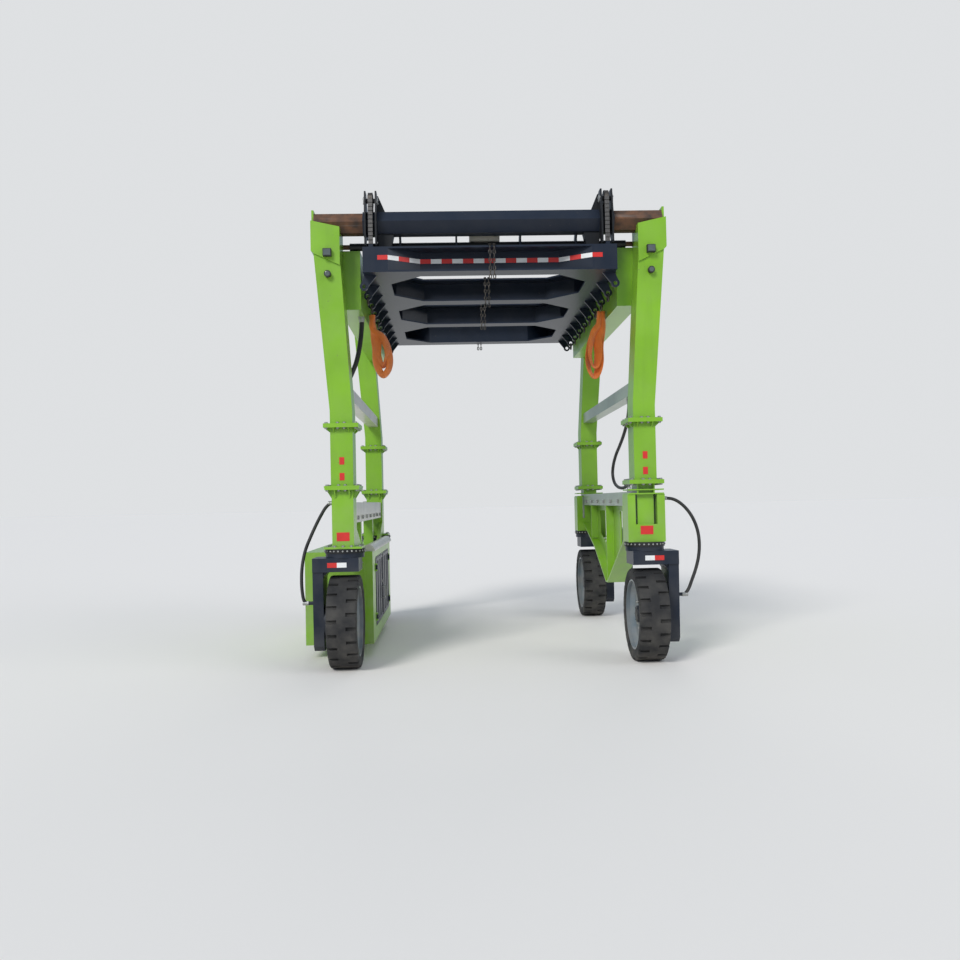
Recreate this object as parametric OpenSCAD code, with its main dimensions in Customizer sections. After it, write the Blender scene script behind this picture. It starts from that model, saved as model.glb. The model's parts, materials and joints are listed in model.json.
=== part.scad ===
// Straddle carrier: a self-propelled frame on four steered wheels that drives over its load
// and lifts it with a spreader hung on four chains.
// X runs across the machine, -Y is the front and Z is up from the ground. One corner or one
// side is drawn at +X, +Y and mirrored to the others.

/* [Wheels] */
// Distance between the front and rear axles
wheelbase = 4500; // [4400:50:5200]
// Distance between the left and right wheel centres with the frame not widened
track = 3670; // [3650:10:3760]
// Outer diameter of the solid tyre
tyre_d = 1120; // [1080:10:1140]
// Width of the tyre
tyre_w = 360; // [300:5:380]
// Diameter of the seat between tyre and rim
rim_d = 850; // [760:10:880]
// Radius of the stub axle
axle_r = 70; // [50:5:80]
// Outer radius of the rim's hub
hub_r = 135; // [110:5:160]

/* [Forks] */
// Gap between the tyre's outer side and the fork's arm
arm_gap = 65; // [45:5:80]
// Thickness of the fork's arm across the machine
arm_w = 125; // [100:5:130]
// Length of the arm along the machine at the crown
arm_d = 420; // [340:10:440]
// Length of the arm along the machine at its lower end
arm_d_low = 350; // [280:10:380]
// Height of the arm's lower end above the ground
arm_low = 228; // [180:4:300]
// Gap between the tyre's top and the crown
crown_gap = 55; // [40:5:70]
// Thickness of the crown
crown_h = 165; // [140:5:180]
// Reach of the crown inwards from the steering axis
crown_reach = 185; // [160:5:210]
// Length of the crown along the machine
crown_d = 440; // [380:10:460]
// Radius of the slewing ring's upper half
ring_r = 245; // [210:5:260]
// Height of one half of the slewing ring
ring_h = 54; // [40:2:64]
// Reach of the hose port past the arm
hose_port_out = 80; // [60:5:100]

/* [Columns] */
// Width of a column's middle tube across the machine
column_w = 270; // [240:5:280]
// Depth of the columns along the machine
column_d = 340; // [300:5:360]
// Width of the left columns' feet
left_foot_w = 260; // [230:5:270]
// Width of the right columns' feet over their side ribs
right_foot_w = 455; // [430:5:460]
// Height of the lower bolted joint
low_joint_z = 2180; // [2160:5:2240]
// Height of the upper bolted joint
high_joint_z = 2930; // [2850:5:3000]
// Height at which the column begins to lean out
kink_z = 3112; // [3060:4:3180]
// Outward lean of the outer face between kink and head
outer_lean = 164; // [120:4:180]
// Outward lean of the inner face between kink and head
inner_lean = 120; // [100:4:140]
// Thickness of one bolted flange
flange_t = 25; // [16:1:30]
// How far the flanges stand out across the machine
flange_out_x = 75; // [50:5:80]
// How far the flanges stand out along the machine
flange_out_y = 70; // [50:5:80]

/* [Side beams] */
// Width of the lower beams
low_beam_w = 220; // [180:5:240]
// Height of the left lower beam's section
left_beam_h = 255; // [220:5:270]
// Height of the left lower beam's top above the ground
left_beam_top = 2005; // [1960:5:2040]
// Height of the right lower beam's section
right_beam_h = 180; // [150:5:220]
// Height of the right lower beam's top above the ground
right_beam_top = 2065; // [2030:5:2120]
// Width of the middle beams
mid_beam_w = 165; // [130:5:200]
// Height of the middle beams' section
mid_beam_h = 160; // [120:5:200]
// Height of the middle beams' top above the ground
mid_beam_top = 3444; // [3380:4:3500]
// Distance of the top beams' inner faces from the machine's middle
top_beam_in = 1602; // [1600:1:1620]
// Width of the top beams
top_beam_w = 270; // [250:5:290]
// Height of the top beams' section
top_beam_h = 736; // [600:8:760]
// Height of the top beams' top above the ground
top_beam_top = 5136; // [5100:4:5136]

/* [Crossbeams] */
// Height of the crossbeams' centre line
beam_z = 5410; // [5400:2:5430]
// Half the height of the inner tube's six-sided section
tube_half_h = 120; // [112:1:124]
// Half the width of that section at its ridges
tube_ridge = 143; // [134:1:148]
// Half the width of its top and bottom flats
tube_flat = 69; // [60:1:76]
// Gap between inner and outer tube away from the wear pads
tube_gap = 6; // [4:1:8]
// Wall of the outer tube
beam_wall = 8; // [6:1:10]
// Running clearance at the wear pads
pad_gap = 0.3; // [0.2:0.1:0.6]
// Length of the wear pads in the mouths of the outer tube
pad_l = 80; // [50:5:120]
// Half the length of the outer tube
beam_half_l = 1540; // [1530:5:1560]
// Where the inner tube starts, from the machine's middle
tube_start = 600; // [520:10:700]
// Diameter of the widening cylinders
barrel_d = 95; // [80:1:98]
// Diameter of their rods
rod_d = 60; // [40:2:60]

/* [Hangers] */
// Distance of the sheaves from the machine's middle
hanger_x = 1435; // [1420:1:1440]
// Radius of the chain sheave
sheave_r = 70; // [60:2:76]
// Width of the chain sheave
sheave_w = 64; // [62:1:76]
// Clear width between a hanger's plates
hanger_gap = 110; // [90:2:116]
// Thickness of a hanger's plates
hanger_t = 20; // [12:1:24]
// Height of the sheave's axis
sheave_z = 5660; // [5650:2:5670]
// Height of the hanger's top
hanger_top = 5765; // [5762:1:5790]
// Width of the lift chain
chain_w = 54; // [40:2:54]
// Thickness of the lift chain
chain_t = 28; // [20:1:30]
// Distance of the lift chain from the crossbeam's ridge
chain_out = 60; // [50:2:70]

/* [Spreader] */
// Width of the spreader over its side beams
spreader_w = 3060; // [3020:10:3080]
// Length of the spreader
spreader_l = 5124; // [5100:4:5180]
// Height of the spreader's top above the ground
spreader_top = 5053; // [5040:1:5060]
// Height of the spreader's section
spreader_h = 306; // [270:2:320]
// Width of a side beam's flanges
side_flange_w = 300; // [260:5:320]
// Width of the closed box at each end of a side beam
end_box_w = 175; // [160:5:200]
// Width of a cross beam's flanges
cross_flange_w = 240; // [200:5:260]
// Thickness of the spreader's flanges
spreader_flange_t = 22; // [16:1:28]
// Thickness of the spreader's webs
spreader_web_t = 20; // [14:1:24]
// Distance from the machine's middle at which the cross beams begin to flare
flare_start = 850; // [750:10:950]
// Widening of the cross beams' flanges on each side at the side beams
flare_w = 380; // [300:10:400]
// Number of lugs under each side beam
lug_count = 10; // [8:1:12]
// Thickness of a lug
lug_t = 30; // [20:1:36]
// Radius of the hole in a lug
lug_hole_r = 26; // [20:1:30]
// Depth of the lugs' eyes below the side beams
lug_eye_drop = 127; // [110:1:140]
// How far the lugs stand out past the side beams
lug_out = 55; // [40:1:55]

/* [Power pack] */
// Distance of the pack's outer side from the machine's middle
pack_out = 2430; // [2380:10:2460]
// Distance of the pack's inner side from the machine's middle
pack_in = 1560; // [1555:1:1570]
// Length of the pack along the machine
pack_l = 3200; // [2900:20:3220]
// Height of the pack's floor above the ground
pack_low = 180; // [160:5:220]
// Height of the pack's top above the ground
pack_top = 1370; // [1340:5:1385]
// Thickness of the pack's panels and doors
panel_t = 30; // [20:2:40]
// Width of a door
door_w = 1130; // [1000:10:1200]
// Height of a door
door_h = 915; // [850:5:930]
// Height of the doors' lower edge above the ground
door_low = 350; // [330:5:370]
// Gap round the doors
door_gap = 6; // [5:1:8]
// Radius of the hinge pins
hinge_pin_r = 8; // [6:1:9]

/* [Right side] */
// Lowest point of the belly girder above the ground
belly_low = 770; // [720:10:860]
// Place of that point along the machine
belly_tip_y = -220; // [-300:10:-100]
// Height of the girder's ends above the ground
belly_end_z = 1575; // [1540:5:1600]
// Width of the girder's flange
belly_flange_w = 260; // [200:10:280]
// Thickness of the girder's web and flange
belly_t = 16; // [12:1:20]
// Width of the oil tank
tank_w = 230; // [180:5:235]
// Length of the oil tank
tank_l = 800; // [600:20:900]
// Height of the oil tank's underside
tank_low = 900; // [860:10:960]
// Height of the oil tank
tank_h = 620; // [500:10:660]

/* [Hidden] */
$fn = 48;

LIME = [0.42, 0.72, 0.1];
NAVY = [0.09, 0.14, 0.22];
BLACK = [0.04, 0.045, 0.05];
GREY_GREEN = [0.5, 0.58, 0.48];
CREAM = [0.85, 0.83, 0.76];
RUST = [0.3, 0.17, 0.1];
STEEL = [0.62, 0.66, 0.7];
ORANGE = [0.95, 0.35, 0.08];

// Overlap of shapes that are joined into one solid
join = 1;
// Running clearance of a shaft in its bore
shaft_gap = 0.05;
// Gap between parts that face each other and turn or lie against each other
face_gap = 0.5;
// Gap between a soft or round piece and its seat
seat_gap = 0.3;

half_track = track / 2;
half_base = wheelbase / 2;
axle_z = tyre_d / 2;
column_reach = half_base - column_d / 2;

// Fork
arm_in = tyre_w / 2 + arm_gap;
arm_out = arm_in + arm_w;
crown_low = tyre_d + crown_gap;
crown_top = crown_low + crown_h;
foot_z = crown_top + 2 * ring_h + face_gap;
hose_port_x = arm_out + hose_port_out;

// The frame's origin lies under the middle of the overall width, from pack to right hose ports
lane_x = (pack_out - half_track - hose_port_x) / 2;

// Column faces from the machine's middle
column_in = half_track - column_w / 2;
column_out = half_track + column_w / 2;
tube_low = beam_z - tube_half_h;
lean_top_z = 5040;
leg_in = column_in + inner_lean;
leg_out = column_out + outer_lean;

// A corner is named by its side (-1 left, 1 right) and its end (-1 front, 1 rear)
FRONT_LEFT = [-1, -1];
FRONT_RIGHT = [1, -1];
REAR_LEFT = [-1, 1];
REAR_RIGHT = [1, 1];

module in_lane() { translate([lane_x, 0, 0]) children(); }
module at_side(side) { if (side > 0) children(); else mirror([1, 0, 0]) children(); }
module at_end(end) { if (end > 0) children(); else mirror([0, 1, 0]) children(); }
module both_ends() { for (end = [-1, 1]) at_end(end) children(); }
module on_side(side) { in_lane() at_side(side) children(); }
module both_sides() { for (side = [-1, 1]) on_side(side) children(); }
module at_corner(corner) { on_side(corner[0]) at_end(corner[1]) children(); }
module at_wheel(corner) { at_corner(corner) translate([half_track, half_base, 0]) children(); }

// A box between two corners
module block(low, high) { translate(low) cube(high - low); }
// An outline of Y and Z between two places along X, and one of X and Z between two along Y
module along_x(x0, x1) { translate([x0, 0, 0]) rotate([90, 0, 90]) linear_extrude(x1 - x0) children(); }
module along_y(y0, y1) { translate([0, y1, 0]) rotate([90, 0, 0]) linear_extrude(y1 - y0) children(); }
// A round bar along X or Y
module bar_x(x0, x1, r) { translate([x0, 0, 0]) rotate([0, 90, 0]) cylinder(r = r, h = x1 - x0); }
module bar_y(y0, y1, r) { translate([0, y0, 0]) rotate([-90, 0, 0]) cylinder(r = r, h = y1 - y0); }

// Tyre, about its own axis
shoulder_r = 24;
bead_in = 14;
module tyre_section() {
    polygon([[rim_d / 2, -tyre_w / 2 + bead_in], [tyre_d / 2 - 3 * shoulder_r, -tyre_w / 2],
             [tyre_d / 2 - shoulder_r, -tyre_w / 2], [tyre_d / 2, -tyre_w / 2 + shoulder_r],
             [tyre_d / 2, tyre_w / 2 - shoulder_r], [tyre_d / 2 - shoulder_r, tyre_w / 2],
             [tyre_d / 2 - 3 * shoulder_r, tyre_w / 2], [rim_d / 2, tyre_w / 2 - bead_in]]);
}
module tyre() {
    color(BLACK) translate([0, 0, axle_z]) rotate([0, 90, 0]) rotate_extrude($fn = 72) tyre_section();
}

// Rim: a barrel, a disc near the lane side and a hub on the stub axle
rim_t = 20;
disc_t = 22;
disc_x = -60;
hub_out = 75;
hub_in = -95;
dish = 50;
module rim_section() {
    bore = axle_r + shaft_gap;
    seat = rim_d / 2;
    lip = tyre_w / 2 - bead_in;
    polygon([[bore, hub_in], [hub_r, hub_in], [hub_r, disc_x - disc_t / 2],
             [seat - rim_t - dish, disc_x - disc_t / 2], [seat - rim_t, disc_x - disc_t / 2 - dish],
             [seat - rim_t, -lip], [seat, -lip], [seat, lip], [seat - rim_t, lip],
             [seat - rim_t, disc_x], [seat - rim_t - dish, disc_x + disc_t / 2],
             [hub_r, disc_x + disc_t / 2], [hub_r, hub_out], [bore, hub_out]]);
}
module rim() {
    color(STEEL) translate([0, 0, axle_z]) rotate([0, 90, 0]) rotate_extrude($fn = 72) rim_section();
}

// Fork: a crown over the tyre, one arm on the outer side and the drive with its stub axle
arch_r = 95;
drive_r = 200;
hub_cap_t = 18;
hub_cap_r = 105;
hose_port_z = 790;
hose_port_r = 22;
module fork_shape() {
    block([-crown_reach, -crown_d / 2, crown_low], [arm_out, crown_d / 2, crown_top]);
    along_x(arm_in, arm_out) polygon([
        [-arm_d / 2, crown_top - join], [-arm_d_low / 2, arm_low + 60], [-arm_d_low / 2 + 60, arm_low],
        [arm_d_low / 2 - 60, arm_low], [arm_d_low / 2, arm_low + 60], [arm_d / 2, crown_top - join]]);
    // Rounded corner of the arch
    difference() {
        block([arm_in - arch_r, -arm_d_low / 2, crown_low - arch_r],
              [arm_in + join, arm_d_low / 2, crown_low + join]);
        translate([arm_in - arch_r, 0, crown_low - arch_r]) bar_y(-arm_d, arm_d, arch_r);
    }
    // Lower half of the slewing ring
    translate([0, 0, crown_top - join]) cylinder(r = ring_r - 12, h = ring_h + join);
    // Drive housing, stub axle and the cap that holds the wheel
    translate([0, 0, axle_z]) {
        bar_x(hub_out + face_gap, arm_in + join, drive_r);
        bar_x(hub_in - hub_cap_t - face_gap, arm_in, axle_r);
        bar_x(hub_in - hub_cap_t - face_gap, hub_in - face_gap, hub_cap_r);
    }
    // Port for the wheel's hose
    translate([0, 0, hose_port_z]) bar_x(arm_out - join, hose_port_x, hose_port_r);
}
module fork() { color(NAVY) fork_shape(); }

module ring() {
    color(BLACK) both_ends() translate([half_track, half_base, foot_z - ring_h])
        cylinder(r = ring_r, h = ring_h);
}

// Bolted flange round a column, w wide, and the ribs under it
rib_t = 16;
rib_step = 8;
module flange(z, w) {
    block([half_track - w / 2 - flange_out_x, half_base - column_d / 2 - flange_out_y, z],
          [half_track + w / 2 + flange_out_x, half_base + column_d / 2 + flange_out_y, z + flange_t]);
}
module rib_outline(hand, out, drop) {
    polygon([[-hand * join, join], [hand * (out - rib_step), join], [hand * (out - rib_step), 0],
             [-hand * join, -drop]]);
}
module flange_ribs(z, w, drop) {
    for (hand = [-1, 1]) for (place = [-1, 1]) {
        translate([half_track + hand * w / 2, half_base + place * column_d / 3, z])
            along_y(-rib_t / 2, rib_t / 2) rib_outline(hand, flange_out_x, drop);
        translate([half_track + place * w / 3, half_base + hand * column_d / 2, z])
            along_x(-rib_t / 2, rib_t / 2) rib_outline(hand, flange_out_y, drop);
    }
}

// Left foot: a plain box on a base plate, with two struts down to the power pack
base_plate_t = 24;
base_plate_w = 450;
strut_t = 50;
module left_foot() {
    block([half_track - left_foot_w / 2, column_reach, foot_z + base_plate_t - join],
          [half_track + left_foot_w / 2, half_base + column_d / 2, low_joint_z - flange_t + join]);
    block([half_track - base_plate_w / 2, half_base - base_plate_w / 2, foot_z],
          [half_track + base_plate_w / 2, half_base + base_plate_w / 2, foot_z + base_plate_t]);
    flange(low_joint_z - flange_t, left_foot_w);
    flange_ribs(low_joint_z - flange_t, left_foot_w, 110);
    for (x = [half_track - left_foot_w / 2 + strut_t / 2, half_track + left_foot_w / 2 - strut_t / 2])
        along_x(x - strut_t / 2, x + strut_t / 2)
        polygon([[column_reach + join, foot_z + 230], [column_reach + join, foot_z + join],
                 [column_reach - 230, foot_z + join], [pack_l / 2 - 120, pack_top],
                 [pack_l / 2 - 260, pack_top]]);
}

// Right foot: a broad box whose two side ribs reach up beside the narrower column
neck_w = 200;
neck_recess = 50;
pedestal_h = 215;
side_rib_w = 95;
cap_z = 2028;
cap_t = 16;
module right_foot() {
    front = half_base + column_d / 2;
    block([half_track - right_foot_w / 2, column_reach, foot_z],
          [half_track + right_foot_w / 2, front, foot_z + pedestal_h]);
    block([half_track - neck_w / 2, column_reach, foot_z + pedestal_h - join],
          [half_track + neck_w / 2, front - neck_recess, low_joint_z - flange_t + join]);
    for (hand = [-1, 1]) {
        x = half_track + hand * (right_foot_w / 2 - side_rib_w / 2);
        block([x - side_rib_w / 2, column_reach, foot_z + pedestal_h - join],
              [x + side_rib_w / 2, front, cap_z + join]);
        block([half_track + hand * neck_w / 2 - rib_t / 2, column_reach, cap_z + cap_t - join],
              [half_track + hand * neck_w / 2 + rib_t / 2, front, low_joint_z - flange_t + join]);
    }
    for (z = [cap_z, cap_z + 3 * cap_t])
        block([half_track - right_foot_w / 2 + 10, column_reach, z],
              [half_track + right_foot_w / 2 - 10, front + 10, z + cap_t]);
    flange(low_joint_z - flange_t, column_w);
}

module middle() {
    block([column_in, column_reach, low_joint_z + flange_t - join],
          [column_out, half_base + column_d / 2, high_joint_z - flange_t + join]);
    flange(low_joint_z, column_w);
    flange(high_joint_z - flange_t, column_w);
    flange_ribs(high_joint_z - flange_t, column_w, 60);
}

// Leg: upright to the kink, then leaning out to a head that holds the inner tube in a cradle
head_step = 28;
head_low_in = 4870;
head_low_out = 5020;
head_chamfer = 30;
cradle_in_z = 5338;
cradle_out_z = 5416;
end_plate_t = 26;
end_plate_half = 90;
end_plate_top = 5570;
head_out_y = 20;
tube_end = leg_out + head_step - end_plate_t;
module leg_outline() {
    polygon([[column_in, high_joint_z + flange_t - join], [column_out, high_joint_z + flange_t - join],
             [column_out, kink_z], [leg_out, lean_top_z], [leg_out, tube_low],
             [leg_in, tube_low], [leg_in, lean_top_z], [column_in, kink_z]]);
}
module head_outline() {
    polygon([[leg_in - 6, head_low_in], [leg_out, head_low_out], [leg_out + head_step, head_low_out + head_chamfer],
             [leg_out + head_step, cradle_out_z], [leg_in - 6, cradle_in_z]]);
}
module leg() {
    difference() {
        union() {
            along_y(column_reach, half_base + column_d / 2) leg_outline();
            along_y(column_reach, half_base + column_d / 2 + head_out_y) head_outline();
            block([tube_end, half_base - end_plate_half, cradle_out_z - join],
                  [tube_end + end_plate_t, half_base + end_plate_half, end_plate_top]);
        }
        translate([0, half_base, beam_z]) along_x(column_in, tube_end) tube_section(0);
    }
    flange(high_joint_z, column_w);
}

// Lower beam by its top and the height of its section, and the middle beam
module side_beams(low_top, low_h) {
    block([half_track - low_beam_w / 2, -column_reach, low_top - low_h],
          [half_track + low_beam_w / 2, column_reach, low_top]);
    block([half_track - mid_beam_w / 2, -column_reach, mid_beam_top - mid_beam_h],
          [half_track + mid_beam_w / 2, column_reach, mid_beam_top]);
}
module top_beam() {
    block([top_beam_in, -column_reach, top_beam_top - top_beam_h],
          [top_beam_in + top_beam_w, column_reach, top_beam_top]);
}

// Six-sided tube section with its ridges to front and rear, grown by t on every side
tube_slant = norm([tube_ridge - tube_flat, tube_half_h]);
ridge_growth = tube_slant / tube_half_h;
flat_growth = (tube_slant - tube_ridge + tube_flat) / tube_half_h;
module tube_section(t) {
    ridge = tube_ridge + t * ridge_growth;
    flat = tube_flat + t * flat_growth;
    polygon([[-ridge, 0], [-flat, tube_half_h + t], [flat, tube_half_h + t],
             [ridge, 0], [flat, -tube_half_h - t], [-flat, -tube_half_h - t]]);
}
beam_grow = tube_gap + beam_wall;
beam_half_h = tube_half_h + beam_grow;
beam_ridge = tube_ridge + beam_grow * ridge_growth;
beam_flat = tube_flat + beam_grow * flat_growth;
beam_low = beam_z - beam_half_h;
beam_top = beam_z + beam_half_h;
// Distance of the lower slanting face from the crossbeam's middle plane, at height z
function facet_y(z) = beam_flat + (z - beam_low) / beam_half_h * (beam_ridge - beam_flat);

// Widening cylinders lie behind each crossbeam in brackets, with a rod to either side
barrel_y = 200;
barrel_z = 5190;
barrel_half_l = 1730;
rod_start = 900;
bracket_t = 24;
bracket_r = 66;
bracket_places = [-1100, -400, 400, 1100];
weld = 4;
module crossbeam() {
    translate([0, half_base, beam_z]) difference() {
        along_x(-beam_half_l, beam_half_l) tube_section(beam_grow);
        along_x(-beam_half_l + pad_l, beam_half_l - pad_l) tube_section(tube_gap);
        along_x(-beam_half_l - join, beam_half_l + join) tube_section(pad_gap);
    }
    for (x = bracket_places) translate([x, half_base, 0]) difference() {
        along_x(-bracket_t / 2, bracket_t / 2)
            polygon([[-barrel_y - bracket_r, barrel_z - bracket_r], [-barrel_y + bracket_r, barrel_z - bracket_r],
                     [-barrel_y + bracket_r, beam_low - 20], [-facet_y(beam_low + 20) + weld, beam_low + 20],
                     [-facet_y(beam_z - 20) + weld, beam_z - 20], [-barrel_y - bracket_r, barrel_z + bracket_r]]);
        translate([0, -barrel_y, barrel_z]) bar_x(-bracket_t, bracket_t, barrel_d / 2 + shaft_gap);
    }
}
module slide_tube() {
    translate([0, half_base, beam_z]) along_x(tube_start, tube_end) tube_section(0);
}
module barrel() {
    translate([0, half_base - barrel_y, barrel_z]) difference() {
        bar_x(-barrel_half_l, barrel_half_l, barrel_d / 2);
        for (side = [-1, 1]) at_side(side)
            bar_x(rod_start - 40, barrel_half_l + join, rod_d / 2 + shaft_gap);
    }
}
rod_eye_w = 60;
module rod() {
    translate([0, half_base - barrel_y, barrel_z]) {
        bar_x(rod_start, leg_in + 10, rod_d / 2);
        block([leg_in, -rod_eye_w / 2, -rod_eye_w / 2],
              [leg_in + rod_eye_w, barrel_y - column_d / 2, rod_eye_w / 2]);
    }
}

// Hangers: two plates over the crossbeam with the sheave between them, and braces
chain_y = beam_ridge + chain_out;
sheave_y = chain_y - chain_t / 2 - face_gap - sheave_r;
hanger_low = spreader_top + 40;
sheave_pin_r = 30;
plate_x = (hanger_gap + hanger_t) / 2;
module hanger_plate_outline() {
    difference() {
        polygon([[chain_y + 35, hanger_low], [chain_y + 35, beam_z + 60], [sheave_y + 60, hanger_top],
                 [sheave_y - 60, hanger_top], [-beam_ridge - 30, beam_z + 40], [-beam_ridge - 30, beam_z - 40],
                 [-beam_flat, beam_low - 40], [60, beam_low - 40], [chain_y - 60, hanger_low]]);
        translate([0, beam_z]) tube_section(beam_grow);
    }
}
module hanger() {
    for (hand = [-1, 1]) translate([hanger_x + hand * plate_x, half_base, 0])
        along_x(-hanger_t / 2, hanger_t / 2) hanger_plate_outline();
    translate([0, half_base + sheave_y, sheave_z])
        bar_x(hanger_x - plate_x, hanger_x + plate_x, sheave_pin_r);
    // Sloping stay on the inner side, standing on the crossbeam
    along_y(half_base - 40, half_base + 60)
        polygon([[hanger_x - plate_x, hanger_top - 20], [hanger_x - plate_x, beam_top],
                 [hanger_x - plate_x - 105, beam_top], [hanger_x - plate_x - 20, hanger_top - 20]]);
    // Brace and stop under the crossbeam
    along_y(half_base - 60, half_base + 60)
        polygon([[hanger_x - 270, beam_low], [hanger_x - 50, beam_low], [hanger_x - 90, hanger_low],
                 [hanger_x - 230, hanger_low]]);
}
module sheave() {
    rim_out = sheave_r + 8;
    cheek = chain_w / 2 + face_gap;
    bore = sheave_pin_r + shaft_gap;
    translate([hanger_x, half_base + sheave_y, sheave_z]) rotate([0, 90, 0]) rotate_extrude()
        polygon([[bore, -sheave_w / 2], [rim_out, -sheave_w / 2], [rim_out, -cheek], [sheave_r, -cheek],
                 [sheave_r, cheek], [rim_out, cheek], [rim_out, sheave_w / 2], [bore, sheave_w / 2]]);
}

// Lift chain: a straight run from the spreader up to the sheave, then round it into the crossbeam
anchor_h = 50;
module lift_chain() {
    block([hanger_x - chain_w / 2, half_base + chain_y - chain_t / 2, spreader_top + anchor_h],
          [hanger_x + chain_w / 2, half_base + chain_y + chain_t / 2, sheave_z]);
}
module chain_wrap() {
    r0 = sheave_r + face_gap;
    translate([hanger_x, half_base + sheave_y, sheave_z]) {
        intersection() {
            difference() {
                bar_x(-chain_w / 2, chain_w / 2, r0 + chain_t);
                bar_x(-chain_w, chain_w, r0);
            }
            block([-chain_w, -2 * r0, 0], [chain_w, 2 * r0, 2 * r0]);
        }
        block([-chain_w / 2, -r0 - chain_t, beam_top - sheave_z], [chain_w / 2, -r0, join]);
    }
}

// Box of valves behind the middle of the front crossbeam, on a bracket against its lower face
valve_box_x = [-236, 143];
valve_box_d = 170;
valve_box_low = barrel_z + barrel_d / 2 + 6;
valve_box_top = 5389;
module valve_box() {
    near = beam_ridge + 20;
    color(CREAM) at_end(-1) {
        block([valve_box_x[0], half_base - near - valve_box_d, valve_box_low],
              [valve_box_x[1], half_base - near, valve_box_top]);
        translate([0, half_base, 0]) along_x(valve_box_x[0] + 60, valve_box_x[1] - 60)
            polygon([[-near - join, beam_low + 20], [-facet_y(beam_low + 20) - seat_gap, beam_low + 20],
                     [-facet_y(beam_z - 40) - seat_gap, beam_z - 40], [-near - join, beam_z - 40]]);
    }
}

// Spreader: two side beams and four channel-shaped cross beams that flare where they meet them
spreader_low = spreader_top - spreader_h;
side_in = spreader_w / 2 - side_flange_w;
side_web_x = (spreader_w - end_box_w) / 2;
spreader_end = spreader_l / 2;
cross_pitch = (spreader_l - cross_flange_w) / 3;
// Cross beams: place along the machine, side of the web (1 rear, -1 front)
CROSS_BEAMS = [[-1.5 * cross_pitch, 1], [-0.5 * cross_pitch, 1], [0.5 * cross_pitch, 1], [1.5 * cross_pitch, -1]];
module side_beam() {
    for (z = [spreader_low, spreader_top - spreader_flange_t])
        block([side_in, -spreader_end, z], [spreader_w / 2, spreader_end, z + spreader_flange_t]);
    block([side_web_x - spreader_web_t / 2, -spreader_end, spreader_low + join],
          [side_web_x + spreader_web_t / 2, spreader_end, spreader_top - join]);
    both_ends() {
        block([spreader_w / 2 - end_box_w, spreader_end - cross_flange_w, spreader_low + join],
              [spreader_w / 2, spreader_end, spreader_top - join]);
        block([hanger_x - chain_w / 2, half_base + chain_y - chain_t / 2 - 40, spreader_top - join],
              [hanger_x + chain_w / 2, half_base + chain_y + chain_t / 2 + 10, spreader_top + anchor_h]);
    }
}
// One edge of a cross beam's flange, from its straight stretch out to the side beam
function flange_edge(y, hand) =
    let (room = spreader_end - hand * y)
    room > flare_w ? [[flare_start, y], [side_in, y + hand * flare_w]] : [[side_in, y]];
function reversed(list) = [for (i = [len(list) - 1 : -1 : 0]) list[i]];
function mirrored(list) = [for (p = reversed(list)) [-p[0], p[1]]];
module cross_flange_outline(y) {
    half = concat(flange_edge(y - cross_flange_w / 2, -1), reversed(flange_edge(y + cross_flange_w / 2, 1)));
    polygon(concat(half, mirrored(half)));
}
module cross_beam(y, hand) {
    edge = cross_flange_w / 2 - spreader_web_t / 2;
    web = y + hand * edge;
    mouth = y - hand * edge;
    inner = spreader_low + spreader_flange_t;
    at_box = abs(y) > spreader_end - cross_flange_w;
    for (z = [spreader_low, spreader_top - spreader_flange_t])
        translate([0, 0, z]) linear_extrude(spreader_flange_t) cross_flange_outline(y);
    half = [[side_in, mouth + spreader_web_t / 2], [flare_start, web + spreader_web_t / 2]];
    low_half = [[flare_start, web - spreader_web_t / 2], [side_in, mouth - spreader_web_t / 2]];
    translate([0, 0, spreader_low + join]) linear_extrude(spreader_h - 2 * join)
        polygon(concat(low_half, half, mirrored(half), mirrored(low_half)));
    // The web goes on between the side beams' flanges
    for (side = [-1, 1]) at_side(side)
        block([side_in - join, mouth - spreader_web_t / 2, inner],
              [at_box ? spreader_w / 2 - end_box_w : side_web_x - spreader_web_t / 2,
               mouth + spreader_web_t / 2, spreader_top - spreader_flange_t]);
}

// Lugs hang from the outer edges of the side beams
lug_round_r = 52;
lug_eye_x = spreader_w / 2 + lug_out - lug_round_r;
lug_root_w = 150;
function lug_y(i) = -spreader_end + 190 + i * (spreader_l - 380) / (lug_count - 1);
module lug(i) {
    difference() {
        translate([0, lug_y(i), spreader_low]) union() {
            along_y(-lug_t / 2, lug_t / 2)
                polygon([[spreader_w / 2 - lug_root_w, 0], [spreader_w / 2, 0],
                         [lug_eye_x + lug_round_r, -lug_eye_drop], [lug_eye_x - lug_round_r, -lug_eye_drop]]);
            translate([lug_eye_x, 0, -lug_eye_drop]) bar_y(-lug_t / 2, lug_t / 2, lug_round_r);
        }
        translate([lug_eye_x, lug_y(i), spreader_low - lug_eye_drop]) bar_y(-lug_t, lug_t, lug_hole_r);
    }
}

// Shackle rings hang in all but the end lugs
shackle_r = 11;
shackle_ring_r = 48;
shackle_in = shackle_ring_r - shackle_r;
shackle_z = spreader_low - lug_eye_drop - lug_hole_r - sqrt(pow(shackle_in, 2) - pow(lug_t / 2, 2)) + seat_gap;
module shackle(i) {
    translate([lug_eye_x, lug_y(i), shackle_z]) rotate([0, 90, 0]) rotate_extrude()
        translate([shackle_ring_r, 0]) circle(r = shackle_r, $fn = 24);
}

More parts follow.
